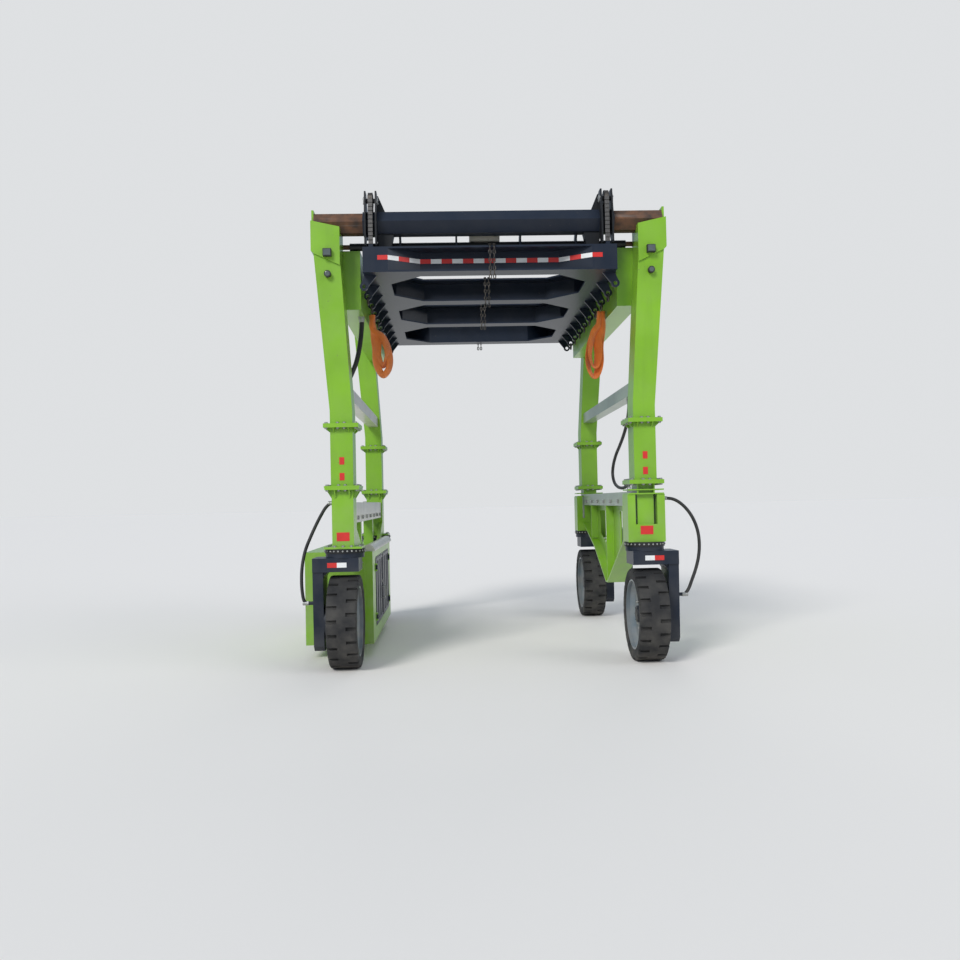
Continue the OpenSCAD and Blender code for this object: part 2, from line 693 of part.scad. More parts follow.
// Double chains for the load, in front of the middle of each cross beam
link_l = 62;
link_w = 40;
link_t = 13;
load_chain_l = 430;
load_chain_places = [-5, 45];
module link(upright) {
    w = upright ? link_t : link_w;
    d = upright ? link_w : link_t;
    block([-w / 2, -d / 2, -link_l], [w / 2, d / 2, 0]);
}
module chain(length) {
    pitch = link_l - link_t;
    for (i = [0 : floor(length / pitch) - 1]) translate([0, 0, -i * pitch]) link(i % 2 == 0);
}
module load_chains() {
    reach = cross_flange_w / 2 + link_w / 2 + seat_gap;
    for (beam = CROSS_BEAMS) for (x = load_chain_places)
        translate([x, beam[0] - beam[1] * reach, spreader_top - 6]) chain(load_chain_l);
}

// Slings: bands gathered on a shackle. Side, number of the lug, width, drop
SLINGS = [[-1, 2, 200, 620], [1, 2, 120, 900]];
sling_t = 70;
module sling(side, place, width, drop) {
    top = shackle_z - shackle_ring_r - shackle_r - seat_gap;
    outer = lug_eye_x + 35;
    on_side(side) translate([0, lug_y(place), top]) along_y(-sling_t / 2, sling_t / 2)
        polygon([[lug_eye_x - 25, 0], [lug_eye_x + 25, 0], [outer, -120], [outer, -drop + 60],
                 [outer - 30, -drop], [outer - width + 30, -drop], [outer - width, -drop + 60],
                 [outer - width, -120]]);
}

// Power pack: a hollow housing with two doors to the lane, hung under the left lower beam
post_w = 60;
hinge_out = 15;
hinge_x = pack_in - hinge_out;
hinge_y = post_w / 2 + door_w + 1.5 * door_gap;
knuckle_r = 13;
knuckle_half = 30;
ear_r = 12;
ear_h = 20;
ear_gap = 1;
HINGE_ZS = [door_low + 130, door_low + door_h - 130];
STRAP_YS = [-900, 900];
module power_pack() {
    difference() {
        block([pack_in, -pack_l / 2, pack_low], [pack_out, pack_l / 2, pack_top]);
        block([pack_in + panel_t, -pack_l / 2 + panel_t, pack_low + panel_t],
              [pack_out - panel_t, pack_l / 2 - panel_t, pack_top - panel_t]);
        both_ends() block([pack_in - join, post_w / 2, door_low - door_gap],
                          [pack_in + panel_t + join, post_w / 2 + door_w + 2 * door_gap, door_low + door_h + door_gap]);
    }
    // Straps up to the lower beam
    for (y = STRAP_YS)
        block([half_track - 70, y - 60, pack_top - join], [half_track + 70, y + 60, left_beam_top - left_beam_h]);
    // Hinge ears and pins
    both_ends() for (z = HINGE_ZS) {
        for (low = [z - knuckle_half - ear_h - ear_gap, z + knuckle_half + ear_gap]) {
            translate([hinge_x, hinge_y, low]) cylinder(r = ear_r, h = ear_h);
            block([hinge_x - ear_r, hinge_y, low], [pack_in + join, hinge_y + 45, low + ear_h]);
        }
        translate([hinge_x, hinge_y, z - knuckle_half - ear_h - ear_gap])
            cylinder(r = hinge_pin_r, h = 2 * (knuckle_half + ear_h + ear_gap));
    }
}
// A door with the knuckles of its two hinges, in the rear half
module pack_door() {
    near = post_w / 2 + door_gap;
    difference() {
        union() {
            block([pack_in, near, door_low], [pack_in + panel_t, near + door_w, door_low + door_h]);
            for (z = HINGE_ZS) {
                translate([hinge_x, hinge_y, z - knuckle_half]) cylinder(r = knuckle_r, h = 2 * knuckle_half);
                block([hinge_x - knuckle_r, hinge_y - 50, z - knuckle_half],
                      [pack_in + join, hinge_y - 2 * door_gap / 3, z + knuckle_half]);
            }
        }
        for (z = HINGE_ZS) translate([hinge_x, hinge_y, z - knuckle_half - join])
            cylinder(r = hinge_pin_r + shaft_gap, h = 2 * knuckle_half + 2 * join);
    }
}
// Engine: its distance from the pack's sides, its length and its height
engine_side_gap = [200, 150];
engine_l = 1200;
engine_y = -250;
engine_h = 850;
module engine_block() {
    low = pack_low + panel_t;
    color([0.25, 0.25, 0.27])
        block([pack_in + engine_side_gap[0], engine_y, low],
              [pack_out - engine_side_gap[1], engine_y + engine_l, low + engine_h]);
}
cover_r = 85;
cover_out = 30;
module pack_cover() {
    along_y(-pack_l / 2 + 20, pack_l / 2 - 20) intersection() {
        translate([pack_in + cover_r - cover_out, pack_top]) circle(r = cover_r);
        translate([pack_in - cover_r, pack_top]) square([3 * cover_r, cover_r]);
    }
}

// Belly girder under the right lower beam, deepest near its middle
belly_top = right_beam_top - right_beam_h;
belly_knee = [950, 1240];
belly_flange_t = 19;
// Lower edge of the girder from front to rear: place along the machine, height
BELLY_EDGE = [[-column_reach, belly_end_z], [-column_reach + 260, belly_end_z - 30],
              [belly_tip_y, belly_low], [belly_tip_y + 120, belly_low], belly_knee,
              [column_reach, belly_end_z]];
// Stiffeners: place along the machine, lower end
BELLY_RIBS = [[-1450, 1400], [belly_tip_y + 60, belly_low + 10], [1250, 1360]];
// Windows in the web: front and rear edge, lower end at each
BELLY_WINDOWS = [[-1150, -700, 1440, 1240], [250, 1050, 1230, 1440]];
module belly_girder() {
    along_x(half_track - belly_t / 2, half_track + belly_t / 2) difference() {
        polygon(concat([[-column_reach, belly_top]], BELLY_EDGE, [[column_reach, belly_top]]));
        for (window = BELLY_WINDOWS) polygon([[window[0], belly_top - 80], [window[1], belly_top - 80],
                                              [window[1], window[3]], [window[0], window[2]]]);
    }
    along_x(half_track - belly_flange_w / 2, half_track + belly_flange_w / 2)
        polygon(concat(BELLY_EDGE, [for (p = reversed(BELLY_EDGE)) p + [0, belly_flange_t]]));
    for (rib = BELLY_RIBS)
        block([half_track - belly_flange_w / 2 + 15, rib[0] - belly_t / 2, rib[1]],
              [half_track + belly_flange_w / 2 - 15, rib[0] + belly_t / 2, belly_top]);
}
// Oil tank on the girder's outer side, hung on a bracket under the lower beam
tank_y = 350;
module oil_tank() {
    x = half_track + belly_flange_w / 2;
    block([x, tank_y, tank_low], [x + tank_w, tank_y + tank_l, tank_low + tank_h]);
    block([x - 40, tank_y + 80, tank_low + tank_h - 60], [x + join, tank_y + tank_l - 80, belly_top]);
}

// Work lamps on the outer faces of the legs: a square one on the head and a round one below it
lamp_x = (leg_in + leg_out) / 2 - 15;
module lamps() {
    face = half_base + column_d / 2;
    both_ends() {
        block([lamp_x - 50, face + head_out_y, 4970], [lamp_x + 50, face + head_out_y + 60, 5060]);
        translate([lamp_x, 0, 4760]) bar_y(face, face + 60, 38);
    }
}

// Hoses as tubes swept along hand-chosen points
function unit(v) = v / norm(v);
// Rings of the tube stand across the path; flat_to is an axis that the path never runs along
module tube(path, r, sides, flat_to) {
    last = len(path) - 1;
    rings = [for (i = [0 : last])
        let (run = unit(path[min(i + 1, last)] - path[max(i - 1, 0)]),
             across = unit(cross(run, flat_to)), up = cross(run, across))
        for (k = [0 : sides - 1])
            path[i] + r * (cos(360 * k / sides) * across + sin(360 * k / sides) * up)];
    walls = [for (i = [0 : last - 1]) for (k = [0 : sides - 1])
        let (a = i * sides + k, b = i * sides + (k + 1) % sides) each [[a, b, a + sides], [b, b + sides, a + sides]]];
    near_cap = [for (k = [sides - 1 : -1 : 0]) k];
    far_cap = [for (k = [0 : sides - 1]) last * sides + k];
    polyhedron(rings, concat(walls, [near_cap, far_cap]));
}
hose_r = 20;
hose_end_x = hose_port_x + 0.9;
// From the outer side of a foot down to the port on the fork, from the wheel's middle
LEFT_WHEEL_HOSE = [[left_foot_w / 2 + seat_gap, -60, 2000], [170, -60, 2000], [235, -60, 1945], [300, -60, 1840],
                   [365, -55, 1715], [425, -50, 1585], [480, -40, 1450], [515, -30, 1310], [532, -20, 1170],
                   [534, -10, 1030], [525, -4, 910], [508, 0, 825], [475, 0, 790], [hose_end_x, 0, 790]];
RIGHT_WHEEL_HOSE = [[right_foot_w / 2 + seat_gap, -40, 1975], [270, -40, 1975], [380, -40, 1960],
                    [480, -40, 1900], [570, -35, 1800], [635, -30, 1680], [675, -25, 1540], [685, -18, 1390],
                    [668, -10, 1240], [630, -5, 1100], [580, 0, 970], [530, 0, 850], [480, 0, 790],
                    [hose_end_x, 0, 790]];
module wheel_hose(path) { color(BLACK) tube(path, hose_r, 8, [0, 1, 0]); }
// Along the left side frame at its front end, from the top beam to the middle beam
left_hose_r = 30;
LEFT_SIDE_HOSE = [[1640, -1640, top_beam_top - top_beam_h - seat_gap], [1640, -1640, 4300], [1650, -1680, 4130],
                  [1670, -1750, 3950], [1700, -1830, 3780], [1745, -1910, 3640], [1780, -1970, 3540],
                  [1790, -1985, 3490], [1790, -1985, mid_beam_top + seat_gap]];
// On the right side frame, from the middle beam down to the lower beam
right_hose_r = 22;
RIGHT_SIDE_HOSE = [[1835, -1500, mid_beam_top - mid_beam_h - seat_gap], [1835, -1500, 3220], [1835, -1430, 3090],
                   [1835, -1270, 2950], [1835, -1040, 2830], [1835, -770, 2720], [1835, -490, 2620],
                   [1835, -250, 2490], [1835, -150, 2350], [1835, -250, 2230], [1835, -480, 2160],
                   [1835, -760, 2130], [1835, -1040, 2130], [1835, -1230, 2150], [1835, -1330, 2145],
                   [1835, -1370, 2110], [1835, -1370, right_beam_top + seat_gap]];

in_lane() at_end(-1) color(NAVY) crossbeam();  // front_crossbeam
in_lane() at_end(1) color(NAVY) crossbeam();  // rear_crossbeam
both_sides() both_ends() color(BLACK) hanger();  // hangers
both_sides() both_ends() color(BLACK) sheave();  // sheaves
both_sides() both_ends() color(STEEL) chain_wrap();  // chain_wraps
both_sides() both_ends() color(STEEL) lift_chain();  // lift_chains
in_lane() both_ends() color(BLACK) barrel();  // cylinder_barrels
in_lane() valve_box();
on_side(-1) both_ends() color(LIME) left_foot();  // left_feet
on_side(-1) both_ends() color(LIME) middle();  // left_middles
on_side(-1) both_ends() color(LIME) leg();  // left_legs
on_side(-1) color(CREAM) side_beams(left_beam_top, left_beam_h);  // left_side_beams
on_side(-1) color(LIME) top_beam();  // left_top_beam
on_side(-1) both_ends() color(RUST) { slide_tube(); rod(); }  // left_slide_tubes
on_side(-1) ring();  // left_rings
on_side(-1) color(BLACK) lamps();  // left_lamps
on_side(1) both_ends() color(LIME) right_foot();  // right_feet
on_side(1) both_ends() color(LIME) middle();  // right_middles
on_side(1) both_ends() color(LIME) leg();  // right_legs
on_side(1) color(GREY_GREEN) side_beams(right_beam_top, right_beam_h);  // right_side_beams
on_side(1) color(LIME) top_beam();  // right_top_beam
on_side(1) both_ends() color(RUST) { slide_tube(); rod(); }  // right_slide_tubes
on_side(1) ring();  // right_rings
on_side(1) color(BLACK) lamps();  // right_lamps
on_side(-1) color(LIME) power_pack();
on_side(-1) color(CREAM) pack_cover();
on_side(-1) engine_block();
on_side(-1) at_end(-1) color(NAVY) pack_door();  // pack_door_front
on_side(-1) at_end(1) color(NAVY) pack_door();  // pack_door_rear
on_side(1) color(LIME) belly_girder();
on_side(1) color([0.07, 0.16, 0.06]) oil_tank();
at_wheel(FRONT_LEFT) fork();  // fork_front_left
at_wheel(FRONT_RIGHT) fork();  // fork_front_right
at_wheel(REAR_LEFT) fork();  // fork_rear_left
at_wheel(REAR_RIGHT) fork();  // fork_rear_right
at_wheel(FRONT_LEFT) tyre();  // tyre_front_left
at_wheel(FRONT_RIGHT) tyre();  // tyre_front_right
at_wheel(REAR_LEFT) tyre();  // tyre_rear_left
at_wheel(REAR_RIGHT) tyre();  // tyre_rear_right
at_wheel(FRONT_LEFT) rim();  // rim_front_left
at_wheel(FRONT_RIGHT) rim();  // rim_front_right
at_wheel(REAR_LEFT) rim();  // rim_rear_left
at_wheel(REAR_RIGHT) rim();  // rim_rear_right
both_sides() color(NAVY) side_beam();  // spreader_side_beams
in_lane() for (beam = CROSS_BEAMS) color(NAVY) cross_beam(beam[0], beam[1]);  // spreader_cross_beams
both_sides() for (i = [0 : lug_count - 1]) color(NAVY) lug(i);  // spreader_lugs
both_sides() for (i = [1 : lug_count - 2]) color(STEEL) shackle(i);  // shackles
in_lane() color(BLACK) load_chains();
for (s = SLINGS) color(ORANGE) sling(s[0], s[1], s[2], s[3]);  // slings
at_wheel(FRONT_LEFT) wheel_hose(LEFT_WHEEL_HOSE);  // hose_front_left
at_wheel(FRONT_RIGHT) wheel_hose(RIGHT_WHEEL_HOSE);  // hose_front_right
at_wheel(REAR_LEFT) wheel_hose(LEFT_WHEEL_HOSE);  // hose_rear_left
at_wheel(REAR_RIGHT) wheel_hose(RIGHT_WHEEL_HOSE);  // hose_rear_right
on_side(-1) color(BLACK) tube(LEFT_SIDE_HOSE, left_hose_r, 8, [1, 0, 0]);  // hose_left_side
on_side(1) color(BLACK) tube(RIGHT_SIDE_HOSE, right_hose_r, 8, [1, 0, 0]);  // hose_right_side
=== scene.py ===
# %% [markdown]
# # Straddle carrier
# The imported CAD model is the frame: every box, beam and wheel is already in its place and at its real
# size, in metres. This script gives them their finish and adds what a drawing office leaves to the
# workshop: tread, bolts, links, webbing and hoses.

# %% Load the frame
import json
import math

import bmesh
import bpy
from mathutils import Matrix, Vector


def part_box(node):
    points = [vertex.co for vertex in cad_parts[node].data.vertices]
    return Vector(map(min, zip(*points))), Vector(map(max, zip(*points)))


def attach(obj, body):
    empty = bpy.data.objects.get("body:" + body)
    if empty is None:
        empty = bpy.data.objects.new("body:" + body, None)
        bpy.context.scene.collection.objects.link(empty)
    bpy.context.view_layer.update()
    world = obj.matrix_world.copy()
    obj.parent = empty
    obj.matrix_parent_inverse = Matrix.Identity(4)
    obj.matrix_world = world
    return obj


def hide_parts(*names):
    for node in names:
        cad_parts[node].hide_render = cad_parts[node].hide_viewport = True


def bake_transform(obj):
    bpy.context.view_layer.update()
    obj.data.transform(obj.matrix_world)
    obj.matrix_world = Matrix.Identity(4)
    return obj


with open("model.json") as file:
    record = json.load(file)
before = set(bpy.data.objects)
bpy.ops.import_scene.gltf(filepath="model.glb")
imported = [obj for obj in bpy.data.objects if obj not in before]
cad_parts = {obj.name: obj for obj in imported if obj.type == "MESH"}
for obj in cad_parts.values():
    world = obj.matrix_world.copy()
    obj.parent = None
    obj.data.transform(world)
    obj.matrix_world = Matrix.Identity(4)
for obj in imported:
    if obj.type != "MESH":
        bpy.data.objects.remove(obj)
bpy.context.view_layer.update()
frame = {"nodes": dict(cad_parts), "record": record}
nodes = frame["nodes"]

# %% [markdown]
# The machine is symmetric about the middle of its lane, which lies a little beside the frame's origin
# because the power pack stands out further than the other side. The main places are worked out from the
# nodes' own boxes. Smaller ones below are plain numbers that were read off the CAD.

# %% Places that the frame gives
LANE_X = (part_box("tyre_front_left")[0].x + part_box("tyre_front_right")[1].x) / 2
CORNERS = {"front_left": (-1, -1), "front_right": (1, -1), "rear_left": (-1, 1), "rear_right": (1, 1)}
SIDES = {"left": -1, "right": 1}


def middle(node):
    low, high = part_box(node)
    return (low + high) / 2


HALF_TRACK = middle("tyre_front_right").x - LANE_X
HALF_BASE = middle("tyre_rear_right").y
AXLE_Z = middle("tyre_rear_right").z
TYRE_R = AXLE_Z
print("lane at x", round(LANE_X, 4), "half track", round(HALF_TRACK, 4), "half base", round(HALF_BASE, 4))

# %% [markdown]
# ## Camera
# The picture was taken from about standing height, almost straight in front, with a normal lens held a
# little askew. The place and angle come from matching the wheels, the crossbeam and the hangers to
# their places in it.

# %% Camera
EYE = Vector((-0.448, -13.464, 1.977))
TILT_UP = math.radians(1.367)
TURN = math.radians(-1.778)
ROLL = math.radians(-1.225)
FOCAL_PX = 915.4
IMAGE_PX = 960.0

camera_data = bpy.data.cameras.new("camera")
camera_data.sensor_width = 36.0
camera_data.lens = FOCAL_PX / IMAGE_PX * camera_data.sensor_width
camera = bpy.data.objects.new("camera", camera_data)
aim = Matrix.Rotation(TURN, 4, "Z") @ Matrix.Rotation(math.radians(90) + TILT_UP, 4, "X")
camera.matrix_world = Matrix.Translation(EYE) @ aim @ Matrix.Rotation(ROLL, 4, "Z")
bpy.context.scene.collection.objects.link(camera)
bpy.context.scene.camera = camera
bpy.context.scene.view_settings.view_transform = "Standard"
print("lens", round(camera_data.lens, 1), "mm")

# %% [markdown]
# ## Shader maths
# A finish is a few masks mixed over each other: dust that thickens towards the ground, long streaks,
# chips. Written as expressions they can be read, so one small class stands for a socket and turns each
# operator into a Math node. Patterns, mixing and relief have a method each.


# %% Sockets and nodes
class Value:
    """One socket of a material's nodes that can be calculated with."""

    def __init__(self, maker, socket):
        self.maker = maker
        self.socket = socket

    def maths(self, operation, *inputs):
        return self.maker.node("ShaderNodeMath", {"operation": operation}, *inputs)

    def __add__(self, other):
        return self.maths("ADD", self, other)

    def __radd__(self, other):
        return self.maths("ADD", other, self)

    def __sub__(self, other):
        return self.maths("SUBTRACT", self, other)

    def __rsub__(self, other):
        return self.maths("SUBTRACT", other, self)

    def __mul__(self, other):
        return self.maths("MULTIPLY", self, other)

    def __rmul__(self, other):
        return self.maths("MULTIPLY", other, self)

    def __truediv__(self, other):
        return self.maths("DIVIDE", self, other)

    def step(self, low, high):
        """0 below low, 1 above high, and a straight ramp between them."""
        return self.maker.node("ShaderNodeMapRange", {"clamp": True}, self, low, high)


class Finish:
    """A material under construction."""

    def __init__(self, name):
        self.material = bpy.data.materials.new(name)
        self.material.use_nodes = True
        self.tree = self.material.node_tree
        self.shader = self.tree.nodes["Principled BSDF"]
        self.place = self.node("ShaderNodeTexCoord", {}, output="Object")

    def node(self, kind, settings, *inputs, output=0):
        made = self.tree.nodes.new(kind)
        for key, value in settings.items():
            setattr(made, key, value)
        for slot, value in enumerate(inputs):
            self.feed(made.inputs[slot], value)
        return Value(self, made.outputs[output])

    def feed(self, socket, value):
        if isinstance(value, Value):
            self.tree.links.new(value.socket, socket)
        elif value is not None:
            socket.default_value = value

    def stretched(self, x, y, z):
        """The place on the object with each axis scaled, so that a pattern runs long or short along it."""
        return self.node("ShaderNodeVectorMath", {"operation": "MULTIPLY"}, self.place, (x, y, z))

    def noise(self, scale, detail, place=None):
        made = self.tree.nodes.new("ShaderNodeTexNoise")
        self.feed(made.inputs["Vector"], place or self.place)
        made.inputs["Scale"].default_value = scale
        made.inputs["Detail"].default_value = detail
        return Value(self, made.outputs[0])

    def height(self):
        """Height above the ground in metres."""
        return self.node("ShaderNodeSeparateXYZ", {}, self.place, output="Z")

    def across(self):
        return self.node("ShaderNodeSeparateXYZ", {}, self.place, output="X")

    def along(self):
        return self.node("ShaderNodeSeparateXYZ", {}, self.place, output="Y")

    def mix(self, mask, one, other):
        made = self.tree.nodes.new("ShaderNodeMix")
        made.data_type = "RGBA"
        self.feed(made.inputs["Factor"], mask)
        for name, colour in (("A", one), ("B", other)):
            socket = [s for s in made.inputs if s.name == name and s.type == "RGBA"][0]
            self.feed(socket, colour)
        return Value(self, [s for s in made.outputs if s.type == "RGBA"][0])

    def bump(self, height, depth):
        made = self.tree.nodes.new("ShaderNodeBump")
        made.inputs["Strength"].default_value = 1.0
        made.inputs["Distance"].default_value = depth
        self.feed(made.inputs["Height"], height)
        self.feed(self.shader.inputs["Normal"], Value(self, made.outputs[0]))

    def set(self, **sockets):
        for name, value in sockets.items():
            self.feed(self.shader.inputs[name.replace("_", " ")], value)


def rgb(red, green, blue):
    return (red, green, blue, 1.0)


# %% [markdown]
# ## Paint
# Machine enamel is thick and even, with a slight orange-peel skin. Water leaves faint streaks, darker on
# the light paints and paler on the dark ones, and road dust gathers low down. Chips down to the primer
# lie in patches. One function makes every painted finish, so they all age the same way.

# %% Painted steel
DUST = rgb(0.36, 0.33, 0.28)


def painted(name, colour, chip, wear=0.5, dust=0.5, rough=0.34, shine=0.5):
    f = Finish(name)
    broad = f.noise(1.7, 4.0)
    streaks = f.noise(7.0, 5.0, f.stretched(1.0, 1.0, 0.09))
    grit = f.noise(120.0, 2.0)
    shade = tuple(0.80 * c for c in colour[:3]) + (1.0,)
    base = f.mix(broad.step(0.3, 0.75), colour, shade)
    base = f.mix(streaks.step(0.56, 0.72) * 0.22, base, tuple(0.55 * c + 0.02 for c in colour[:3]) + (1.0,))
    low_dust = (1.0 - f.height().step(0.1, 2.2)) * 0.6 + 0.12
    dusty = low_dust * f.noise(4.0, 6.0).step(0.35, 0.7) * dust
    base = f.mix(dusty, base, DUST)
    chips = f.noise(23.0, 6.0).step(0.70, 0.715) * broad.step(0.45, 0.6) * wear
    base = f.mix(chips, base, chip)
    f.set(Base_Color=base, Roughness=rough + 0.35 * dusty + 0.3 * chips + (grit - 0.5) * 0.05)
    f.set(Metallic=0.0, Specular_IOR_Level=shine, Coat_Weight=0.5 * shine, Coat_Roughness=0.15)
    f.bump(f.noise(55.0, 2.0) * 0.5 + (1.0 - chips) * 0.4 + grit * 0.1, 0.0012)
    return f.material


PRIMER = rgb(0.16, 0.10, 0.07)
DARK_PRIMER = rgb(0.08, 0.07, 0.06)
lime = painted("lime_paint", rgb(0.22, 0.47, 0.016), PRIMER)
navy = painted("navy_paint", rgb(0.007, 0.014, 0.030), DARK_PRIMER, dust=0.15, rough=0.42, shine=0.3)
black = painted("black_paint", rgb(0.006, 0.007, 0.009), DARK_PRIMER, dust=0.15, rough=0.44, shine=0.3)
# The cream finish is painted reflection: the lower beam's green paint drawn pale with the glare of the sunlit
# container and ground that it mirrors.
glare_cream = painted("cream_paint", rgb(0.62, 0.60, 0.52), PRIMER, dust=0.8)
# The grey-green finish is painted reflection too: green paint drawn greyish with the sunlit container side
# that the beam mirrors.
glare_grey_green = painted("grey_green_paint", rgb(0.31, 0.39, 0.28), PRIMER, dust=0.8)
# The tank's dark green is painted shade: the machine's green paint drawn dark where shade falls under the
# side beam.
shaded_tank_green = painted("tank_paint", rgb(0.03, 0.09, 0.035), PRIMER, dust=0.8)
rim_grey = painted("rim_paint", rgb(0.16, 0.20, 0.23), rgb(0.2, 0.19, 0.17), wear=0.8, dust=1.0)
print("painted finishes", len(bpy.data.materials))

# %% [markdown]
# ## Bare steel, rubber and webbing
# The sliding tubes are bare where they run in and out, so they carry a brown film of rust with polished
# tracks along them. Chain is dark with oil. Tyre rubber is grey with dust in its pores, hoses are
# smoother, and the slings are woven, which a fine crossed wave shows.


# %% Bare and soft finishes
def rusty(name):
    f = Finish(name)
    patches = f.noise(9.0, 7.0)
    tracks = f.noise(26.0, 4.0, f.stretched(0.05, 1.0, 1.0))
    brown = f.mix(patches.step(0.3, 0.7), rgb(0.045, 0.028, 0.020), rgb(0.17, 0.075, 0.035))
    bare = tracks.step(0.60, 0.70) * 0.45
    f.set(Base_Color=f.mix(bare, brown, rgb(0.33, 0.30, 0.27)), Metallic=bare * 0.9)
    f.set(Roughness=0.75 - 0.35 * bare)
    f.bump(patches + tracks * 0.4, 0.0015)
    return f.material


def oiled_chain(name):
    f = Finish(name)
    oil = f.noise(30.0, 4.0)
    f.set(Base_Color=f.mix(oil.step(0.35, 0.7), rgb(0.045, 0.043, 0.042), rgb(0.16, 0.14, 0.12)))
    f.set(Metallic=0.85, Roughness=0.35 + 0.3 * oil)
    f.bump(oil, 0.0008)
    return f.material


def leaf_chain(name):
    """Lift chain of flat plates and cross pins, drawn by waves of the height."""
    f = Finish(name)
    link = f.node("ShaderNodeMath", {"operation": "PINGPONG"}, f.height(), 0.0254) / 0.0254
    plate = f.node("ShaderNodeMath", {"operation": "PINGPONG"}, f.across() + 10.0, 0.0045) / 0.0045
    gap = link.step(0.78, 0.9)
    seam = plate.step(0.8, 0.95)
    f.set(Base_Color=f.mix(gap * 0.8 + seam * 0.2, rgb(0.17, 0.16, 0.15), rgb(0.02, 0.02, 0.02)))
    f.set(Metallic=0.85, Roughness=0.42 + 0.2 * gap)
    f.bump((1.0 - gap) * 0.7 + (1.0 - seam) * 0.3, 0.006)
    return f.material


def rubbery(name, colour, dusted, rough, grain):
    f = Finish(name)
    wipe = f.noise(5.0, 6.0)
    fine = f.noise(grain, 3.0)
    low = 1.0 - f.height().step(0.0, 1.3)
    dusty = wipe.step(0.35, 0.75) * (0.25 + 0.75 * low) * dusted
    f.set(Base_Color=f.mix(dusty, colour, DUST), Roughness=rough + 0.12 * dusty)
    f.bump(fine, 0.0012)
    return f.material


def webbing(name):
    f = Finish(name)
    weave_up = f.node("ShaderNodeMath", {"operation": "SINE"}, f.height() * 1300.0)
    weave_on = f.node("ShaderNodeMath", {"operation": "SINE"}, (f.across() + f.along()) * 1300.0)
    weave = weave_up * weave_on * 0.5 + 0.5
    soiled = f.noise(6.0, 5.0).step(0.4, 0.75)
    colour = f.mix(soiled * 0.45, rgb(0.86, 0.19, 0.015), rgb(0.38, 0.09, 0.02))
    f.set(Base_Color=f.mix(weave * 0.25, colour, rgb(0.95, 0.33, 0.06)), Roughness=0.78 + 0.1 * soiled)
    f.set(Sheen_Weight=0.35, Sheen_Roughness=0.5)
    f.bump(weave, 0.0015)
    return f.material


def plain(name, colour, rough, metallic=0.0, grain=180.0):
    """A small part's finish, even but for a fine grain and light soiling."""
    f = Finish(name)
    soil = f.noise(9.0, 4.0).step(0.45, 0.8)
    dark = tuple(0.6 * c for c in colour[:3]) + (1.0,)
    f.set(Base_Color=f.mix(soil * 0.5, colour, dark), Roughness=rough + 0.1 * soil, Metallic=metallic)
    f.bump(f.noise(grain, 2.0), 0.0004)
    return f.material


slide_steel = rusty("slide_steel")
chain_steel = oiled_chain("chain_steel")
lift_chain_steel = leaf_chain("lift_chain_steel")
tyre_rubber = rubbery("tyre_rubber", rgb(0.014, 0.014, 0.015), 0.22, 0.82, 300.0)
hose_rubber = rubbery("hose_rubber", rgb(0.010, 0.010, 0.011), 0.25, 0.55, 500.0)
sling_web = webbing("sling_web")
cast = plain("cast_iron", rgb(0.06, 0.062, 0.066), 0.7, 0.6, 90.0)
zinc = plain("zinc_bolts", rgb(0.42, 0.42, 0.40), 0.42, 0.9)
housing = plain("lamp_housing", rgb(0.02, 0.02, 0.022), 0.6)
lens = plain("lamp_lens", rgb(0.10, 0.12, 0.12), 0.10)
signal_red = plain("signal_red", rgb(0.62, 0.025, 0.02), 0.38)
signal_white = plain("signal_white", rgb(0.80, 0.80, 0.78), 0.35)
brass = plain("brass_fitting", rgb(0.55, 0.38, 0.14), 0.35, 0.9)
print("finishes", len(bpy.data.materials))

# %% [markdown]
# The record names one slot for each node. The nodes keep their meshes, and each gets the finish that
# belongs to its slot. Only the lift chains have a finish of their own beside the other chains.

# %% Finish of every CAD node
# The cream_paint slot carries painted reflection on the green lower beam.
# The grey_green_paint slot carries painted reflection on green paint.
# The tank_paint slot carries painted shade on the tank's green paint.
SLOT_FINISH = {
    "lime_paint": lime, "navy_paint": navy, "black_paint": black, "cream_paint": glare_cream,
    "grey_green_paint": glare_grey_green, "tank_paint": shaded_tank_green, "slide_steel": slide_steel,
    "chain_steel": chain_steel, "rim_paint": rim_grey, "tyre": tyre_rubber, "hose": hose_rubber,
    "sling": sling_web, "engine": cast, "lamp": housing,
}
for entry in frame["record"]["subparts"]:
    finish = SLOT_FINISH[entry["material_slot"]]
    if entry["node"] == "lift_chains":
        finish = lift_chain_steel
    mesh = nodes[entry["node"]].data
    mesh.materials.clear()
    mesh.materials.append(finish)
print("nodes finished", len(nodes))

# %% [markdown]
# ## Making pieces
# Every piece that is added is built as a mesh. One helper turns a bmesh into an object, gives it its
# finish and slot, and hangs it on the body that it moves with.


# %% Mesh helpers
def add_mesh(name, bm, body, finish, smooth=False):
    mesh = bpy.data.meshes.new(name)
    bmesh.ops.recalc_face_normals(bm, faces=bm.faces)
    bm.to_mesh(mesh)
    bm.free()
    piece = bpy.data.objects.new(name, mesh)
    bpy.context.scene.collection.objects.link(piece)
    mesh.materials.append(finish)
    for face in mesh.polygons:
        face.use_smooth = smooth
    if body:
        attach(piece, body)
    return piece


def solid_block(bm, low, high, bevel):
    """A box between two corners with its edges broken."""
    low, high = Vector(low), Vector(high)
    size = high - low
    place = Matrix.Translation((low + high) / 2) @ Matrix.Diagonal((size.x, size.y, size.z, 1))
    made = bmesh.ops.create_cube(bm, size=1.0, matrix=place)
    # Each edge once, always in the same order, so that every run gives the same mesh
    edges = list(dict.fromkeys(e for v in made["verts"] for e in v.link_edges))
    bmesh.ops.bevel(bm, geom=edges, offset=bevel, segments=2, affect="EDGES", profile=0.5)


